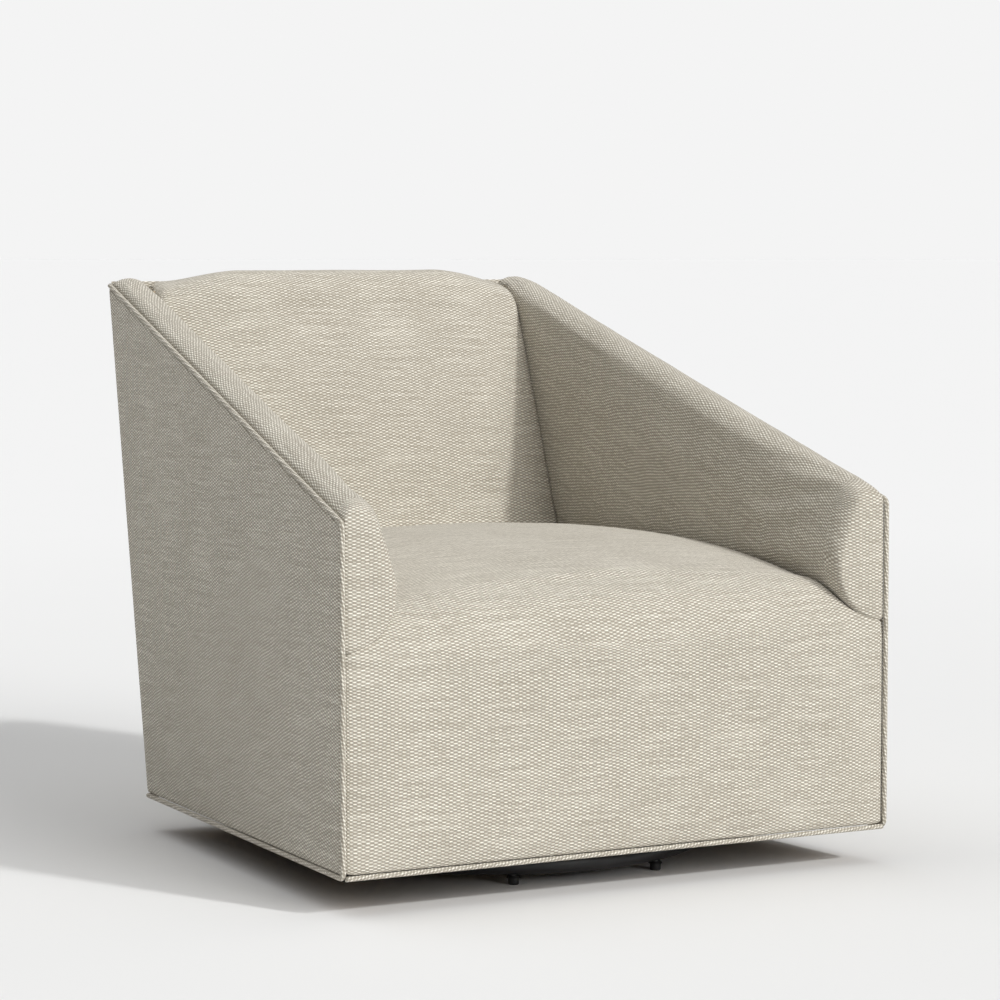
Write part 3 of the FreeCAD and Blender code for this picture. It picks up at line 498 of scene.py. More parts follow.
def make_tweed(name, turn=0.0, length=weave_length, height=weave_height):
    """Plain woven cloth of thick cream wefts over taupe warps, with uneven yarns.

    turn is the angle of the yarns to the piece's own cloth coordinate, for cloth cut on the bias.
    """
    m = Material(name)
    flat = m.add("UVMap", {}, uv_map="weave")
    flat = m.add("Mapping", {"Vector": flat, "Rotation": (0, 0, turn)})

    # Yarns wander a little, more along their length than across it
    wander = m.noise(flat, 22, 1.0, output="Color")
    tremble = m.noise(flat, 150, 1.0, output="Color")
    wander = m.add("VectorMath", {0: wander, 1: (0.5, 0.5, 0.5)}, operation="SUBTRACT")
    tremble = m.add("VectorMath", {0: tremble, 1: (0.5, 0.5, 0.5)}, operation="SUBTRACT")
    wander = m.add("VectorMath", {0: wander, 1: yarn_wander}, operation="MULTIPLY")
    tremble = m.add("VectorMath", {0: tremble, 1: yarn_tremble}, operation="MULTIPLY")
    bent = m.add("VectorMath", {0: flat, 1: wander}, operation="ADD")
    bent = m.add("VectorMath", {0: bent, 1: tremble}, operation="ADD")
    along = m.add("SeparateXYZ", {0: bent}, "X")
    across = along.node.outputs["Y"]
    a = m.math("DIVIDE", along, length)
    b = m.math("DIVIDE", across, height)

    # Each crossing: the weft on top where the count is even, the warp where it is odd
    wave_a = m.math("COSINE", m.math("MULTIPLY", a, math.pi))
    wave_b = m.math("COSINE", m.math("MULTIPLY", b, math.pi))
    checks = m.math("MULTIPLY", wave_a, wave_b)
    cell = m.add("CombineXYZ", {"X": m.math("ROUND", a), "Y": m.math("ROUND", b)})
    each = m.add("TexWhiteNoise", {"Vector": cell}, "Value", noise_dimensions="2D")
    row = m.add("CombineXYZ", {"X": m.math("MULTIPLY", along, 9.0), "Y": m.math("ROUND", b)})
    slub = m.add("TexNoise", {"Vector": row, "Scale": 1.0, "Detail": 2.0}, "Fac")
    lift = m.ramp(checks, -0.30, 0.85)
    lift = m.math("MULTIPLY", lift, m.ramp(each, 0.0, 1.0, 0.60, 1.20))

    # Fibres along the yarn, finer than the weave
    fibre = m.noise(m.stretched(flat, (700, 2600, 1)), 1.0, 3.0, 0.65)

    # Colour: taupe low down, cream on top, with some yarns darker along the row
    patch = m.noise(flat, 7.0, 2.0)
    tone = m.math("ADD", lift, m.ramp(slub, 0.3, 0.7, -0.20, 0.16))
    tone = m.math("ADD", tone, m.ramp(fibre, 0.3, 0.7, -0.10, 0.10))
    tone = m.math("ADD", tone, m.ramp(patch, 0.35, 0.65, -0.03, 0.03), clamp=True)
    shade = m.mix(tone, colour(*yarn_taupe), colour(*yarn_cream))
    high = m.math("MULTIPLY_ADD", fibre, 0.22, lift)
    rough = m.ramp(fibre, 0.2, 0.8, 0.82, 0.98)
    return m.surface(Base_Color=shade, Roughness=rough, Normal=m.bump(high, yarn_relief),
                     Sheen_Weight=0.18, Sheen_Roughness=0.5, Specular_IOR_Level=0.2)


def make_powder_coat(name, base):
    """Black powder coat over steel: a fine orange-peel skin with a satin gloss."""
    m = Material(name)
    place = m.place()
    skin = m.noise(place, 900, 2.0)
    wear = m.noise(place, 35, 3.0, 0.6)
    shade = m.mix(m.ramp(wear, 0.35, 0.75), colour(*base), colour(*[1.8 * c for c in base]))
    return m.surface(Base_Color=shade, Roughness=m.ramp(wear, 0.3, 0.7, 0.30, 0.42),
                     Normal=m.bump(skin, 0.0004, 0.35))


def make_moulded(name, base, rough, gloss=0.5):
    """Moulded plastic or rubber: a faint grain and slight flow marks."""
    m = Material(name)
    place = m.place()
    grain = m.noise(place, 1400, 2.0)
    flow = m.noise(m.stretched(place, (1, 1, 4)), 60, 2.0)
    shade = m.mix(flow, colour(*[0.8 * c for c in base]), colour(*[1.2 * c for c in base]))
    return m.surface(Base_Color=shade, Roughness=m.ramp(flow, 0.3, 0.7, rough - 0.06, rough + 0.06),
                     Normal=m.bump(grain, 0.0002, 0.4), Specular_IOR_Level=gloss)


def make_metal(name, base, rough):
    """Plated or oiled steel: brushed, with cloudy patches in the plating."""
    m = Material(name)
    place = m.place()
    cloud = m.noise(place, 70, 3.0, 0.6)
    brushed = m.noise(m.stretched(place, (60, 60, 2200)), 1.0, 2.0)
    shade = m.mix(cloud, colour(*[0.75 * c for c in base]), colour(*[1.1 * c for c in base]))
    return m.surface(Base_Color=shade, Metallic=1.0,
                     Roughness=m.ramp(brushed, 0.2, 0.8, rough - 0.08, rough + 0.10),
                     Normal=m.bump(brushed, 0.0002, 0.3))


def make_hardwood():
    """Planed frame timber: rings stretched along the board, pores and a little darkening."""
    m = Material("frame_timber")
    place = m.place()
    warp = m.noise(m.stretched(place, (6, 6, 2)), 1.0, 2.0, output="Color")
    bent = m.add("VectorMath", {0: place, 1: warp, 2: (0.05, 0.05, 0.05)}, operation="MULTIPLY_ADD")
    rings = m.add("TexWave", {"Vector": m.stretched(bent, (40, 9, 40)), "Scale": 1.0, "Distortion": 3.0,
                              "Detail": 2.0}, "Fac")
    pores = m.noise(m.stretched(place, (900, 60, 900)), 1.0, 2.0)
    tone = m.math("MULTIPLY_ADD", pores, 0.35, m.math("MULTIPLY", rings, 0.65))
    shade = m.mix(tone, colour(0.33, 0.21, 0.11), colour(0.55, 0.40, 0.24))
    return m.surface(Base_Color=shade, Roughness=m.ramp(tone, 0.2, 0.8, 0.7, 0.5),
                     Normal=m.bump(pores, 0.0003, 0.5))


def make_plain_cloth(name, dark, light, pitch):
    """A thin plain weave, for the webbing and the cloths inside the body."""
    m = Material(name)
    scaled = m.stretched(m.place(), (1 / pitch, 1 / pitch, 1 / pitch))
    x = m.add("SeparateXYZ", {0: scaled}, "X")
    y, z = x.node.outputs["Y"], x.node.outputs["Z"]
    weft = m.math("SINE", m.math("MULTIPLY", x, math.pi))
    warp = m.math("SINE", m.math("MULTIPLY", m.math("ADD", y, z), math.pi))
    over = m.math("MULTIPLY", weft, warp)
    fibre = m.noise(scaled, 2.0, 3.0)
    tone = m.math("MULTIPLY_ADD", fibre, 0.5, m.ramp(over, -1, 1, 0, 0.5))
    return m.surface(Base_Color=m.mix(tone, colour(*dark), colour(*light)),
                     Roughness=m.ramp(fibre, 0.2, 0.8, 0.85, 1.0), Normal=m.bump(tone, 0.0004))


def make_foam():
    """Cut foam: open cells and a slightly uneven colour."""
    m = Material("cut_foam")
    place = m.place()
    cells = m.add("TexVoronoi", {"Vector": place, "Scale": 700.0}, "Distance")
    cloud = m.noise(place, 12, 2.0)
    shade = m.mix(cloud, colour(0.72, 0.66, 0.45), colour(0.80, 0.76, 0.58))
    return m.surface(Base_Color=shade, Roughness=m.ramp(cells, 0, 0.6, 0.85, 1.0),
                     Normal=m.bump(cells, 0.0008))


tweed = make_tweed("oatmeal_tweed")
welt_tweed = make_tweed("oatmeal_tweed_bias", math.radians(bias_turn), bias_length, bias_height)
finishes = {
    "tweed": tweed,
    "foam": make_foam(),
    "webbing": make_plain_cloth("jute_webbing", (0.20, 0.14, 0.08), (0.48, 0.38, 0.25), 0.003),
    "black_cloth": make_plain_cloth("black_cambric", (0.008, 0.008, 0.008), (0.04, 0.04, 0.04), 0.0012),
    "hardwood": make_hardwood(),
    "black_tube": make_powder_coat("black_powder_coat", (0.014, 0.014, 0.015)),
    "black_bracket": make_powder_coat("black_bracket_coat", (0.02, 0.02, 0.021)),
    "zinc_steel": make_metal("zinc_plate", (0.62, 0.62, 0.60), 0.36),
    "spring_steel": make_metal("oiled_spring_steel", (0.25, 0.25, 0.26), 0.42),
    "nylon": make_moulded("natural_nylon", (0.70, 0.68, 0.62), 0.55),
    "glide_plastic": make_moulded("black_glide_plastic", (0.012, 0.012, 0.012), 0.38),
    "stop_rubber": make_moulded("black_rubber", (0.02, 0.02, 0.02), 0.75, 0.3),
}

# Every CAD part takes the finish of its slot
for node in nodes.values():
    for place in node.material_slots:
        place.material = finishes[place.material.name.split(".")[0]]


# Seat pad, which runs on down the front of the body to the bottom welt

def seat_section(share):
    """The pad's closed section in (y, z), at a share of the way from the middle to an arm."""
    swell = (1 - share * share) * seat_crown
    y0 = front + side_cover_inset
    low = body_bottom + welt_size
    rail = front + front_border_depth
    edge = seat_front_edge + seat_edge_swell * swell
    shelf = seat_side_height - seat_front_fall + seat_shelf_swell * swell
    end = seat_side_height - seat_rear_fall + seat_rear_swell * swell
    round_y = front + seat_front_round
    knee = (y0 + seat_knee_forward * (round_y - y0), edge + seat_knee_up * (shelf - edge))
    rear = (back_face(end) - fabric_gap, end)
    crest = ((round_y + rear[0]) / 2, seat_side_height + swell)
    shown = [np.array([y0, low])] + line((y0, low), (y0, edge), seat_front_points)
    shown += arc((y0, edge), knee, (round_y, shelf), seat_round_points)
    shown += arc((round_y, shelf), crest, rear, seat_top_points)
    shown = smoothed(shown, seat_smoothing)
    foot = (back_face(seat_bottom) - fabric_gap, seat_bottom)
    hidden = line(rear, foot, seat_rear_points)
    hidden += line(foot, (rail, seat_bottom), seat_under_points)
    hidden += line((rail, seat_bottom), (rail, low), seat_border_points)
    hidden += line((rail, low), (y0, low), seat_foot_points)[:-1]
    return np.concatenate([shown, hidden]), len(shown)


def nose_reach(z):
    """Half the width left under the arms' curled noses at height z."""
    outer = half_width(front) - frame_inset
    inner = arm_inner(front)
    drop = (arm_nose_top - z) / (arm_nose_top - arm_nose_bottom - nose_tuck)
    drop = min(1.0, max(0.0, drop))
    return outer - (outer - inner) * math.sqrt(1 - drop * drop)


def seat_half_width(y, z):
    """Half the pad's width: between the arms, and wider in front under their noses."""
    if z < arm_nose_top and y < front + seat_front_round:
        return max(nose_reach(z), arm_inner(y)) - fabric_gap
    return arm_inner(y) - fabric_gap


def roll_columns(count, roll_steps):
    """Columns across a pad: (share, angle of the roll over its side, depth of the side wall)."""
    inner = [(-1 + 2 * k / count, 0.0, 0.0) for k in range(count + 1)]
    angles = [math.pi / 2 * k / roll_steps for k in range(1, roll_steps + 1)]
    right = [(1.0, angle, 0.0) for angle in angles] + [(1.0, math.pi / 2, pad_wall)]
    left = [(-1.0, angle, wall) for _, angle, wall in reversed(right)]
    return left + inner + right


def pad_grid(section, half_widths, rolls, columns, depths=1.0):
    """Points and cloth coordinates of a pad.

    It is made from its section, its half width and the size of its side roll in each row.
    depths flattens the roll.
    """
    points = []
    weave = []
    for share, angle, wall in columns:
        run = section(share)[0]
        side = 1 if share > 0 else -1
        x = share * (half_widths - rolls) + side * rolls * math.sin(angle) * (angle > 0)
        sunk = depths * rolls * (1 - math.cos(angle)) + wall
        place = run - outward(run) * sunk[:, None]
        points.append(np.column_stack([x, place]))
        u = share * (half_widths - rolls) + side * (rolls * angle + wall)
        v = lengths(run)
        u = np.append(u, u[0])
        v = np.append(v, v[-1] + pad_seam)
        weave.append(np.column_stack([u, v]))
    return np.stack(points, axis=1), np.stack(weave, axis=1)


def held_in_grid(points, shown_rows):
    """True for the points that the frame, the seams or the neighbours hold."""
    rows, columns = points.shape[:2]
    held = np.ones((rows, columns), bool)
    held[1:shown_rows - 1, held_columns:columns - held_columns] = False
    return held.ravel()


def make_seat():
    """The seat and the front below it, one pad."""
    section, shown = seat_section(1.0)
    half_widths = np.array([seat_half_width(y, z) for y, z in section])
    stops = [arm_nose_bottom - roll_change, arm_nose_bottom, arm_nose_top]
    rolls = np.interp(section[:, 1], stops, [front_side_roll, nose_side_roll, seat_side_roll])
    depths = np.interp(section[:, 1], stops[:2], [front_roll_depth, 1.0])
    columns = roll_columns(seat_columns, seat_roll_steps)
    points, weave = pad_grid(seat_section, half_widths, rolls, columns, depths)
    piece = grid_piece("seat_and_front_pad", points, weave, round_rows=True)
    held = held_in_grid(points, shown)
    fill_out(piece, held, seat_fill_limit)
    ease_cloth(piece, held)
    replaced = ["seat_cover", "seat_foam", "front_border_cover", "front_border_foam"]
    finish_pad(piece, tweed, replaced)


# Back pad

def back_section(share):
    """The pad's closed section in (y, z), at a share of the way from the middle to an arm."""
    swell = 1 - share * share
    past_corner = max(0.0, (abs(share) - back_corner_start) / (1 - back_corner_start))
    drawn = past_corner ** back_corner_power

    def face(z):
        rise = (z - back_bottom) / (back_top_height - back_bottom)
        return back_face(z) + back_side_draw * drawn * rise

    def rear(z):
        return rear_y(z) - back_cover_thickness

    roll = back_roll_start
    top = back_top_height - back_side_drop * drawn
    seam = arm_rear_height
    belly_start = seat_side_height + back_belly_rise
    belly_z = (belly_start + roll) / 2
    belly = (face(belly_z) - back_side_bulge - (back_bulge - back_side_bulge) * swell, belly_z)
    depth = rear(seam) - face(roll)
    shoulder = (face(roll) + back_shoulder_share * depth, roll + back_shoulder_up * (top - roll))
    ridge = (face(roll) + back_ridge_share * depth, top)
    tail = (rear(seam), seam)
    shown = [np.array([face(back_bottom), back_bottom])]
    shown += line(shown[0], (face(belly_start), belly_start), back_low_points)
    shown += arc(shown[-1], belly, (face(roll), roll), back_face_points)
    shown += arc(shown[-1], shoulder, ridge, back_shoulder_points)
    fall = ((ridge[0] + tail[0]) / 2, (top + seam) / 2 + back_top_crown)
    shown += arc(shown[-1], fall, tail, back_top_points)
    shown = smoothed(shown, back_smoothing)
    foot = (rear(back_bottom), back_bottom)
    hidden = line(tail, foot, back_rear_points)
    hidden += line(foot, (face(back_bottom), back_bottom), back_foot_points)[:-1]
    return np.concatenate([shown, hidden]), len(shown)


def make_back():
    """The back's pad, whose sides roll more towards its top corners."""
    section, shown = back_section(1.0)
    half_widths = np.array([arm_inner(y) - fabric_gap for y, z in section])
    corner_height = back_top_height - back_side_drop
    high = np.clip((section[:, 1] - back_roll_start) / (corner_height - back_roll_start), 0, 1)
    rolls = back_side_roll + (back_corner_roll - back_side_roll) * high
    columns = roll_columns(back_columns, back_roll_steps)
    points, weave = pad_grid(back_section, half_widths, rolls, columns)
    piece = grid_piece("back_pad", points, weave, round_rows=True)
    held = held_in_grid(points, shown)
    fill_out(piece, held, back_fill_limit)
    ease_cloth(piece, held)
    finish_pad(piece, tweed, ["back_cover", "back_foam"])


# Arm pads

def arm_plane(share):
    """Depth for a height, in the plane this share of the way from the arm's front to its rear."""
    start = arm_face + arm_face_round
    return lambda z: (1 - share) * start + share * (rear_y(z) - back_cover_thickness)


def arm_section(plane, crown_rise):
    """The right arm's closed section: up the outside, over the crown, down inside, round the nose."""
    # The plane leans, so the top edge's height and depth are found together
    top = arm_front_height
    for _ in range(arm_top_passes):
        top = panel_top(plane(top))
    shoulder = top - arm_shoulder_drop

    def outer(z):
        return half_width(plane(z)) - frame_inset

    def inner(z):
        return arm_inner(plane(z))

    # The crown and shoulder are drawn on the slant that the outside and inside faces have
    crown = arc((0, 0), (arm_crown_width / 2, crown_rise), (arm_crown_width, 0), arm_crown_points)
    lean = outer(top) - arm_crown_width - inner(top)
    waist = (0.5 + arm_shoulder_bulge) * lean
    slope = arc((0, 0), (waist, -arm_shoulder_drop / 2), (lean, -arm_shoulder_drop), arm_slope_points)
    run = [(outer(z), z) for z in np.linspace(arm_nose_bottom, top, arm_outer_points)]
    run += [(outer(top + z) - x, top + z) for x, z in crown]
    run += [(outer(top + z) - arm_crown_width - x, top + z) for x, z in slope]
    run += [(inner(z), z) for z in np.linspace(shoulder, arm_nose_top, arm_inner_points)[1:]]
    width = outer(arm_nose_top) - inner(arm_nose_top)
    for k in range(1, arm_nose_points):
        angle = math.pi / 2 * k / arm_nose_points
        z = arm_nose_top - (arm_nose_top - arm_nose_bottom) * math.sin(angle)
        run.append((outer(z) - width * math.cos(angle), z))
    run = np.array(run)
    straight_end = arm_outer_points - 1
    run = np.concatenate([run[:straight_end], smoothed(run[straight_end:], arm_smoothing)])
    return np.array([(x, plane(z), z) for x, z in run])


def make_arm(side, name, replaced):
    """One arm's pad: its face closes in rounded rings, and the rest runs straight to the rear."""
    stations = [k / arm_stations for k in range(arm_stations + 1)]
    rows = [arm_section(arm_plane(share), arm_crown_rise * crown_share(share)) for share in stations]
    first = rows[0]
    tip = arm_section(lambda z: arm_face, arm_crown_rise)
    spine_x = (tip[:, 0].min() + tip[:, 0].max()) / 2
    low = tip[:, 2].min() + arm_spine_low
    high = tip[:, 2].max() - arm_spine_high
    spine = np.column_stack([np.full(len(tip), spine_x), tip[:, 1], np.clip(tip[:, 2], low, high)])
    inward = spine - tip
    inward /= np.linalg.norm(inward, axis=1)[:, None]
    depths, widths = face_rounding(tip)
    face_rows = []
    for k in range(1, arm_edge_rings + 1):
        angle = math.pi / 2 * k / arm_edge_rings
        back = depths * (1 - math.sin(angle))
        ring = tip + (first - tip) * (back / arm_face_round)[:, None]
        ring += inward * (widths * (1 - math.cos(angle)))[:, None]
        if k == mitre_ring:
            ring += mitre_groove(tip, inward)
        face_rows.append(ring)
    rim = face_rows[-1]
    for closed in arm_face_rings:
        ring = rim + (spine - rim) * closed
        ring[:, 1] = rim[:, 1] - arm_face_dome * (1 - (1 - closed) ** 2)
        face_rows.append(ring)
    points = np.array(face_rows[::-1] + rows[:1] + rows)
    points[:, :, 0] *= side
    weave = arm_weave(points, len(face_rows) + 1, inward)
    piece = grid_piece(name, points, weave, round_columns=True)
    held = arm_held(points, len(face_rows) + 1)
    held = merged(piece, points, held)
    fill_out(piece, held, arm_fill_limit)
    ease_cloth(piece, held)
    finish_pad(piece, tweed, replaced)


def crown_share(share):
    """The crown's share of its rise, which falls off where the arm meets the rear."""
    near_rear = max(0.0, 1 - (1 - share) * overall_depth / arm_rear_round)
    return 1 - arm_rear_drop * near_rear ** 2


def face_rounding(tip):
    """How deep and how wide the face's edge rounds over at each point of the section.

    It rounds broadly over the crown and the inside, and tightly along the welt and under the nose.
    """
    count = len(tip)
    order = np.arange(count)
    broad = np.clip((order - arm_outer_points + 1) / (arm_crown_points / 2), 0, 1)
    rise = np.clip((tip[:, 2] - arm_roll_low) / (arm_roll_high - arm_roll_low), 0, 1)
    rise = rise * rise * (3 - 2 * rise)
    inside = order > arm_outer_points + arm_crown_points
    edge_depth = np.where(inside, arm_nose_depth, arm_welt_depth)
    edge_width = np.where(inside, arm_nose_roll, arm_welt_roll)
    share = np.where(inside, rise, broad)
    depths = edge_depth + (arm_face_round - edge_depth) * share
    widths = edge_width + (arm_face_roll - edge_width) * share
    return depths, widths


def mitre_groove(tip, inward):
    """Sinks the top of the face's edge where the top cover is sewn to the face."""
    from_welt = tip[:, 0].max() - tip[:, 0]
    on_top = tip[:, 2] > arm_front_height - mitre_margin
    depth = np.clip(mitre_reach - from_welt / mitre_length, 0, 1) * on_top * mitre_depth
    return inward * depth[:, None]


def arm_weave(points, face_rows, inward):
    """Cloth coordinates: flat over the face, unrolled over its edge, then along and round the pad.

    The row between the face's edge and the rest comes twice, once with each.
    """
    body = points[face_rows:]
    along = lengths(body[:, arm_outer_points + arm_crown_points // 2])
    rounded = np.array([lengths(row) for row in body])
    rounded -= rounded[:, arm_outer_points - 1][:, None]
    weave = np.zeros(points.shape[:2] + (2,))
    weave[face_rows:, :, 0] = along[:, None]
    weave[face_rows:, :, 1] = rounded
    face = points[:face_rows]
    rim = face[rim_row]
    unrolled = lengths(face[rim_row:])
    away = -inward[:, [0, 2]] * np.array([np.sign(points[0, 0, 0]), 1])
    weave[:rim_row] = face[:rim_row][..., [0, 2]]
    weave[rim_row:face_rows] = rim[:, [0, 2]] + away * unrolled[..., None]
    return np.concatenate([weave, weave[:, :1]], axis=1)


def arm_held(points, face_rows):
    """True for the arm's points at the welt, over the face's edge, at the rear and under the nose."""
    rows, columns = points.shape[:2]
    held = np.zeros((rows, columns), bool)
    held[:, :arm_outer_points + 1] = True
    held[rim_row:face_rows + 1] = True
    held[-2:] = True
    held[:, columns - arm_nose_points + 1:] = True
    return held.ravel()


def merged(piece, points, held):
    """The held marks for the mesh, whose coincident points are one."""
    places = points.reshape(-1, 3)
    tree = kdtree.KDTree(len(places))
    for k, place in enumerate(places):
        tree.insert(place, k)
    tree.balance()
    return np.array([held[tree.find(place)[1]] for place in vertex_places(piece)])


# Welts: cloth sewn round a cord

def welt_piece(name, path, replaced):
    """A welt along a path of points, a round tube with its cloth coordinate along and round it."""
    path = np.array(path, float)
    radius = welt_size / 2
    along = np.gradient(path, axis=0)
    along /= np.linalg.norm(along, axis=1)[:, None]
    travelled = lengths(path)
    reference = np.array([1.0, 0.0, 0.0])
    if abs(along[0] @ reference) > 0.9:
        reference = np.array([0.0, 0.0, 1.0])
    points = []
    weave = []
    for place, forward, distance in zip(path, along, travelled):
        across = reference - forward * (reference @ forward)
        across /= np.linalg.norm(across)
        reference = across
        third = np.cross(forward, across)
        turns = [2 * math.pi * k / welt_sides for k in range(welt_sides)]
        points.append([place + radius * (math.cos(t) * across + math.sin(t) * third) for t in turns])
        weave.append([(distance, radius * 2 * math.pi * k / welt_sides) for k in range(welt_sides + 1)])
    piece = grid_piece(name, np.array(points), np.array(weave), round_columns=True)
    piece.data.materials.append(welt_tweed)
    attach(piece, "seat")
    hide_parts(replaced)


def rounded_path(corners, radius):
    """Points along straight runs with rounded corners."""
    corners = [np.array(corner, float) for corner in corners]
    run = [corners[0]]
    for before, corner, after in zip(corners, corners[1:], corners[2:]):
        back = (before - corner) / np.linalg.norm(before - corner)
        ahead = (after - corner) / np.linalg.norm(after - corner)
        half = math.acos(back @ ahead) / 2
        reach = radius / math.tan(half)
        centre = corner + (back + ahead) / np.linalg.norm(back + ahead) * radius / math.sin(half)
        begin, end = corner + back * reach, corner + ahead * reach
        run += straight(run[-1], begin)
        for k in range(1, welt_corner_points + 1):
            place = begin + (end - begin) * k / welt_corner_points
            run.append(centre + (place - centre) / np.linalg.norm(place - centre) * radius)
    return run + straight(run[-1], corners[-1])


def straight(start, end):
    """Points along a straight run of a welt, with start left out."""
    return line(start, end, max(1, round(np.linalg.norm(end - start) / welt_spacing)))


def make_side_welt(side, name, replaced):
    """The welt along the side's slope, down its front edge and along its bottom edge."""
    radius = welt_size / 2
    y0 = front + radius
    low = body_bottom + radius
    drop = radius / math.cos(math.atan(panel_rise))

    def at(y, z):
        return (side * (half_width(y) - radius), y, z)

    corners = [at(*slope_meets_rear(drop, radius + welt_end))]
    corners += [at(y0, panel_top(y0) - drop), at(y0, low), at(rear_y(low) - radius, low)]
    welt_piece(name, rounded_path(corners, welt_corner), replaced)


def make_bottom_welt(y, name):
    """A straight welt between the side welts, at depth y."""
    radius = welt_size / 2
    half = half_width(y) - welt_size
    low = body_bottom + radius
    start, end = np.array([-half, y, low]), np.array([half, y, low])
    welt_piece(name, [start] + straight(start, end), "bottom_welts")


# Flat upholstered panels, on the sides and the rear

def slab_piece(name, shown, hidden, weave, replaced):
    """A panel with a cloth face and a flat inner side."""
    rows, columns = shown.shape[:2]
    points = np.concatenate([shown, hidden[::-1]], axis=0)
    more = np.concatenate([weave, weave[::-1], weave[:1]], axis=0)
    piece = grid_piece(name, points, more, round_rows=True)
    held = np.ones((2 * rows, columns), bool)
    held[panel_held:rows - panel_held, panel_held:-panel_held] = False
    ease_cloth(piece, held.ravel())
    finish_pad(piece, tweed, [replaced])


def edge_steps(length, edge, count):
    """Shares along a panel, closer together near its two edges."""
    start = [edge * k / length for k in edge_places]
    middle = list(np.linspace(start[-1], 1 - start[-1], count + 1))[1:-1]
    return np.array(start + middle + [1 - k for k in reversed(start)])


def edge_dip(shares, length, edge):
    """1 at a panel's two edges, falling to 0 within the edge's width, as a quarter round."""
    dips = np.zeros_like(shares)
    for share in (shares, 1 - shares):
        inside = np.clip(share * length / edge, 0, 1)
        dips = np.maximum(dips, 1 - np.sqrt(1 - (1 - inside) ** 2))
    return dips


def bulge(s, t):
    """1 over most of a panel, falling to 0 at its edges."""
    return (1 - (2 * s - 1) ** 4) * (1 - (2 * t - 1) ** 4)


def make_side_panel(side, name, replaced):
    """The side panel between its welts and the rear corner, which has no welt."""
    low = body_bottom + welt_size
    drop = welt_size * panel_slope_share
    y0 = front + welt_size
    low_front, low_rear = np.array([(y0, low), (rear_y(low), low)])
    top_front, top_rear = np.array([(y0, panel_top(y0) - drop), slope_meets_rear(drop, 0)])
    across = edge_steps(base_depth, panel_edge, panel_columns)
    up = edge_steps(panel_height, panel_edge, panel_rows)
    s, t = np.meshgrid(across, up)
    bottom = low_front + (low_rear - low_front) * s[..., None]
    top = top_front + (top_rear - top_front) * s[..., None]
    place = bottom + (top - bottom) * t[..., None]
    y, z = place[..., 0], place[..., 1]
    dip = np.maximum(edge_dip(s, base_depth, panel_edge), edge_dip(t, panel_height, panel_edge))
    x = half_width(y) - side_cover_inset - panel_dip * dip + panel_puff * bulge(s, t)
    inner = half_width(y) - frame_inset
    shown = np.stack([side * x, y, z], axis=-1)
    hidden = np.stack([side * inner, y, z], axis=-1)
    slab_piece(name, shown, hidden, np.stack([y, z], axis=-1), replaced)


def make_outside_back():
    """The raked rear panel, from its bottom welt to the top of the back."""
    low, high = body_bottom + welt_size, arm_rear_height
    across = edge_steps(rear_width, rear_edge, rear_steps)
    up = edge_steps(high - low, rear_edge, rear_steps)
    s, t = np.meshgrid(across, up)
    z = low + (high - low) * t
    half = half_width(rear_y(z)) - frame_inset - rear_gap
    x = half * (2 * s - 1)
    dip = np.maximum(edge_dip(s, rear_width, rear_edge), edge_dip(t, high - low, rear_edge))
    shown = np.stack([x, rear_y(z) - rear_dip * dip + rear_puff * bulge(s, t), z], axis=-1)
    hidden = np.stack([x, rear_y(z) - back_cover_thickness, z], axis=-1)
    slab_piece("outside_back_panel", shown, hidden, np.stack([x, z], axis=-1), "outside_back")


make_seat()
make_back()
make_arm(1, "arm_pad_right", ["arm_cover_right", "arm_foam_right"])
make_arm(-1, "arm_pad_left", ["arm_cover_left", "arm_foam_left"])
make_side_panel(1, "side_cover_right", "side_panel_right")
make_side_panel(-1, "side_cover_left", "side_panel_left")
make_outside_back()
make_side_welt(1, "welt_right", "side_welt_right")
make_side_welt(-1, "welt_left", "side_welt_left")
make_bottom_welt(front + welt_size / 2, "welt_front")
make_bottom_welt(rear_y(body_bottom + welt_size / 2) - welt_size / 2, "welt_rear")


# Floor, light and camera

def make_floor():
    """A wide pale floor that grows as bright as the backdrop far from the chair."""
    bpy.ops.mesh.primitive_circle_add(vertices=floor_sides, radius=floor_radius, fill_type="TRIFAN",
                                      location=(0, 0, 0))
    floor = bpy.context.object
    floor.name = "floor"
    m = Material("studio_floor")
    place = m.place()
    away = m.add("VectorMath", {0: place}, "Value", operation="LENGTH")
    cloud = m.noise(place, 3.0, 2.0)
    fade = m.ramp(away, floor_fade_start, floor_fade_end)
    tone = m.math("ADD", fade, m.ramp(cloud, 0.3, 0.7, -0.02, 0.02), clamp=True)
    shade = m.mix(tone, colour(*floor_near), colour(*floor_far))
    floor.data.materials.append(m.surface(Base_Color=shade, Roughness=1.0, Specular_IOR_Level=0.0))


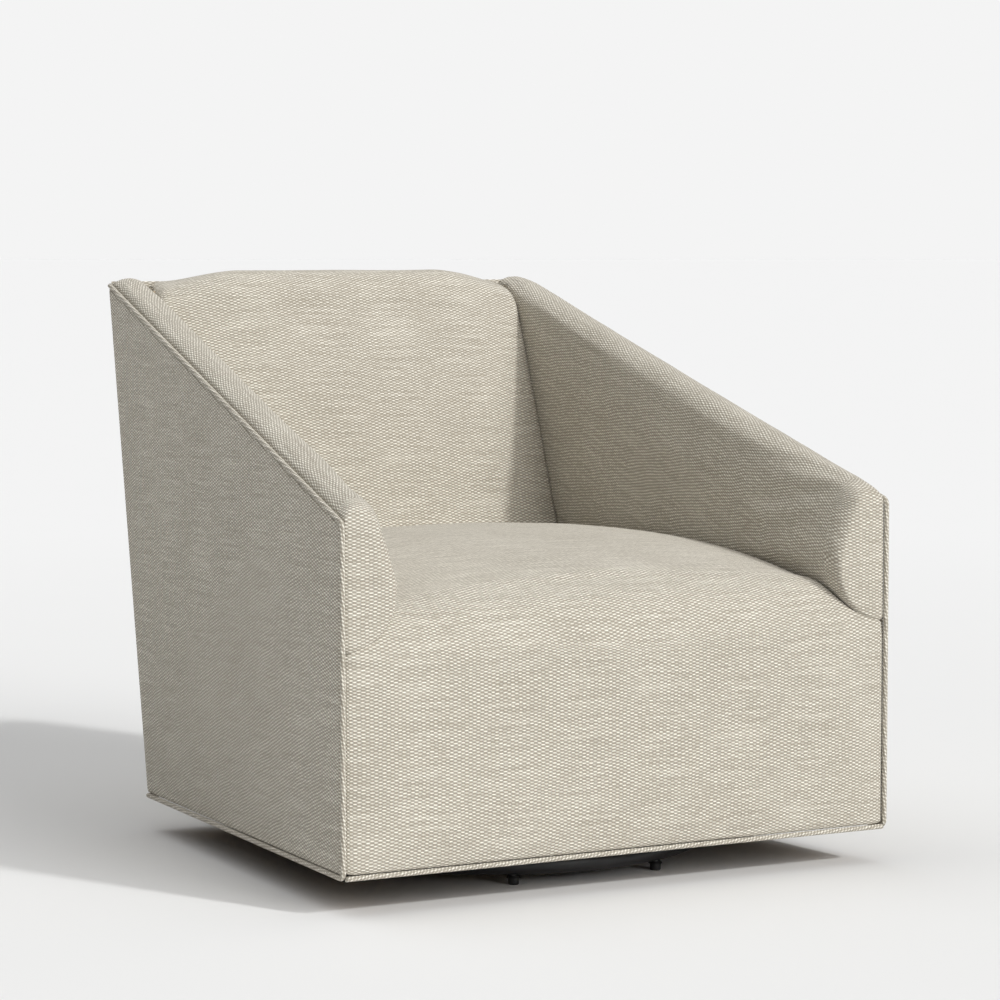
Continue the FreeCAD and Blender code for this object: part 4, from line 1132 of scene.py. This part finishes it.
def make_sky():
    """Studio light that is strong from above and weak from the sides, before a plain backdrop."""
    world = bpy.data.worlds.new("studio")
    scene.world = world
    world.use_nodes = True
    tree = world.node_tree

    def add(kind, **settings):
        node = tree.nodes.new("ShaderNode" + kind)
        for name, value in settings.items():
            setattr(node, name, value)
        return node

    direction = add("TexCoord")
    height = add("SeparateXYZ")
    overhead = add("Math", operation="POWER")
    overhead.inputs[1].default_value = sky_power
    strength = add("MapRange")
    strength.inputs["To Min"].default_value = sky_low
    strength.inputs["To Max"].default_value = sky_low + sky_high
    light = tree.nodes["Background"]
    light.inputs["Color"].default_value = (1.0, 1.0, 1.0, 1.0)
    seen = add("Background")
    seen.inputs["Color"].default_value = colour(*backdrop)
    ray = add("LightPath")
    mix = add("MixShader")
    tree.links.new(direction.outputs["Generated"], height.inputs[0])
    tree.links.new(height.outputs["Z"], overhead.inputs[0])
    tree.links.new(overhead.outputs[0], strength.inputs["Value"])
    tree.links.new(strength.outputs[0], light.inputs["Strength"])
    tree.links.new(ray.outputs["Is Camera Ray"], mix.inputs[0])
    tree.links.new(light.outputs[0], mix.inputs[1])
    tree.links.new(seen.outputs[0], mix.inputs[2])
    tree.links.new(mix.outputs[0], tree.nodes["World Output"].inputs[0])


def make_sun(name, place, strength, spread):
    """Light from the direction of a place, from a source this many degrees wide."""
    data = bpy.data.lights.new(name, "SUN")
    data.energy = strength
    data.angle = math.radians(spread)
    light = bpy.data.objects.new(name, data)
    light.location = place
    light.rotation_euler = (-Vector(place)).to_track_quat("-Z", "Y").to_euler()
    scene.collection.objects.link(light)


def make_camera():
    """The camera at the place from which the photograph was taken."""
    data = bpy.data.cameras.new("camera")
    data.lens = camera_lens
    data.sensor_width = 36
    camera = bpy.data.objects.new("camera", data)
    camera.location = camera_place
    camera.rotation_euler = (math.radians(90 - camera_pitch), 0, math.radians(camera_turn))
    scene.collection.objects.link(camera)
    scene.camera = camera


make_floor()
make_sky()
make_sun("key", key_place, key_strength, key_softness)
make_sun("softbox", softbox_place, softbox_strength, softbox_spread)
make_sun("rear_light", rear_light_place, rear_light_strength, rear_light_spread)
make_camera()
scene.view_settings.view_transform = "Standard"
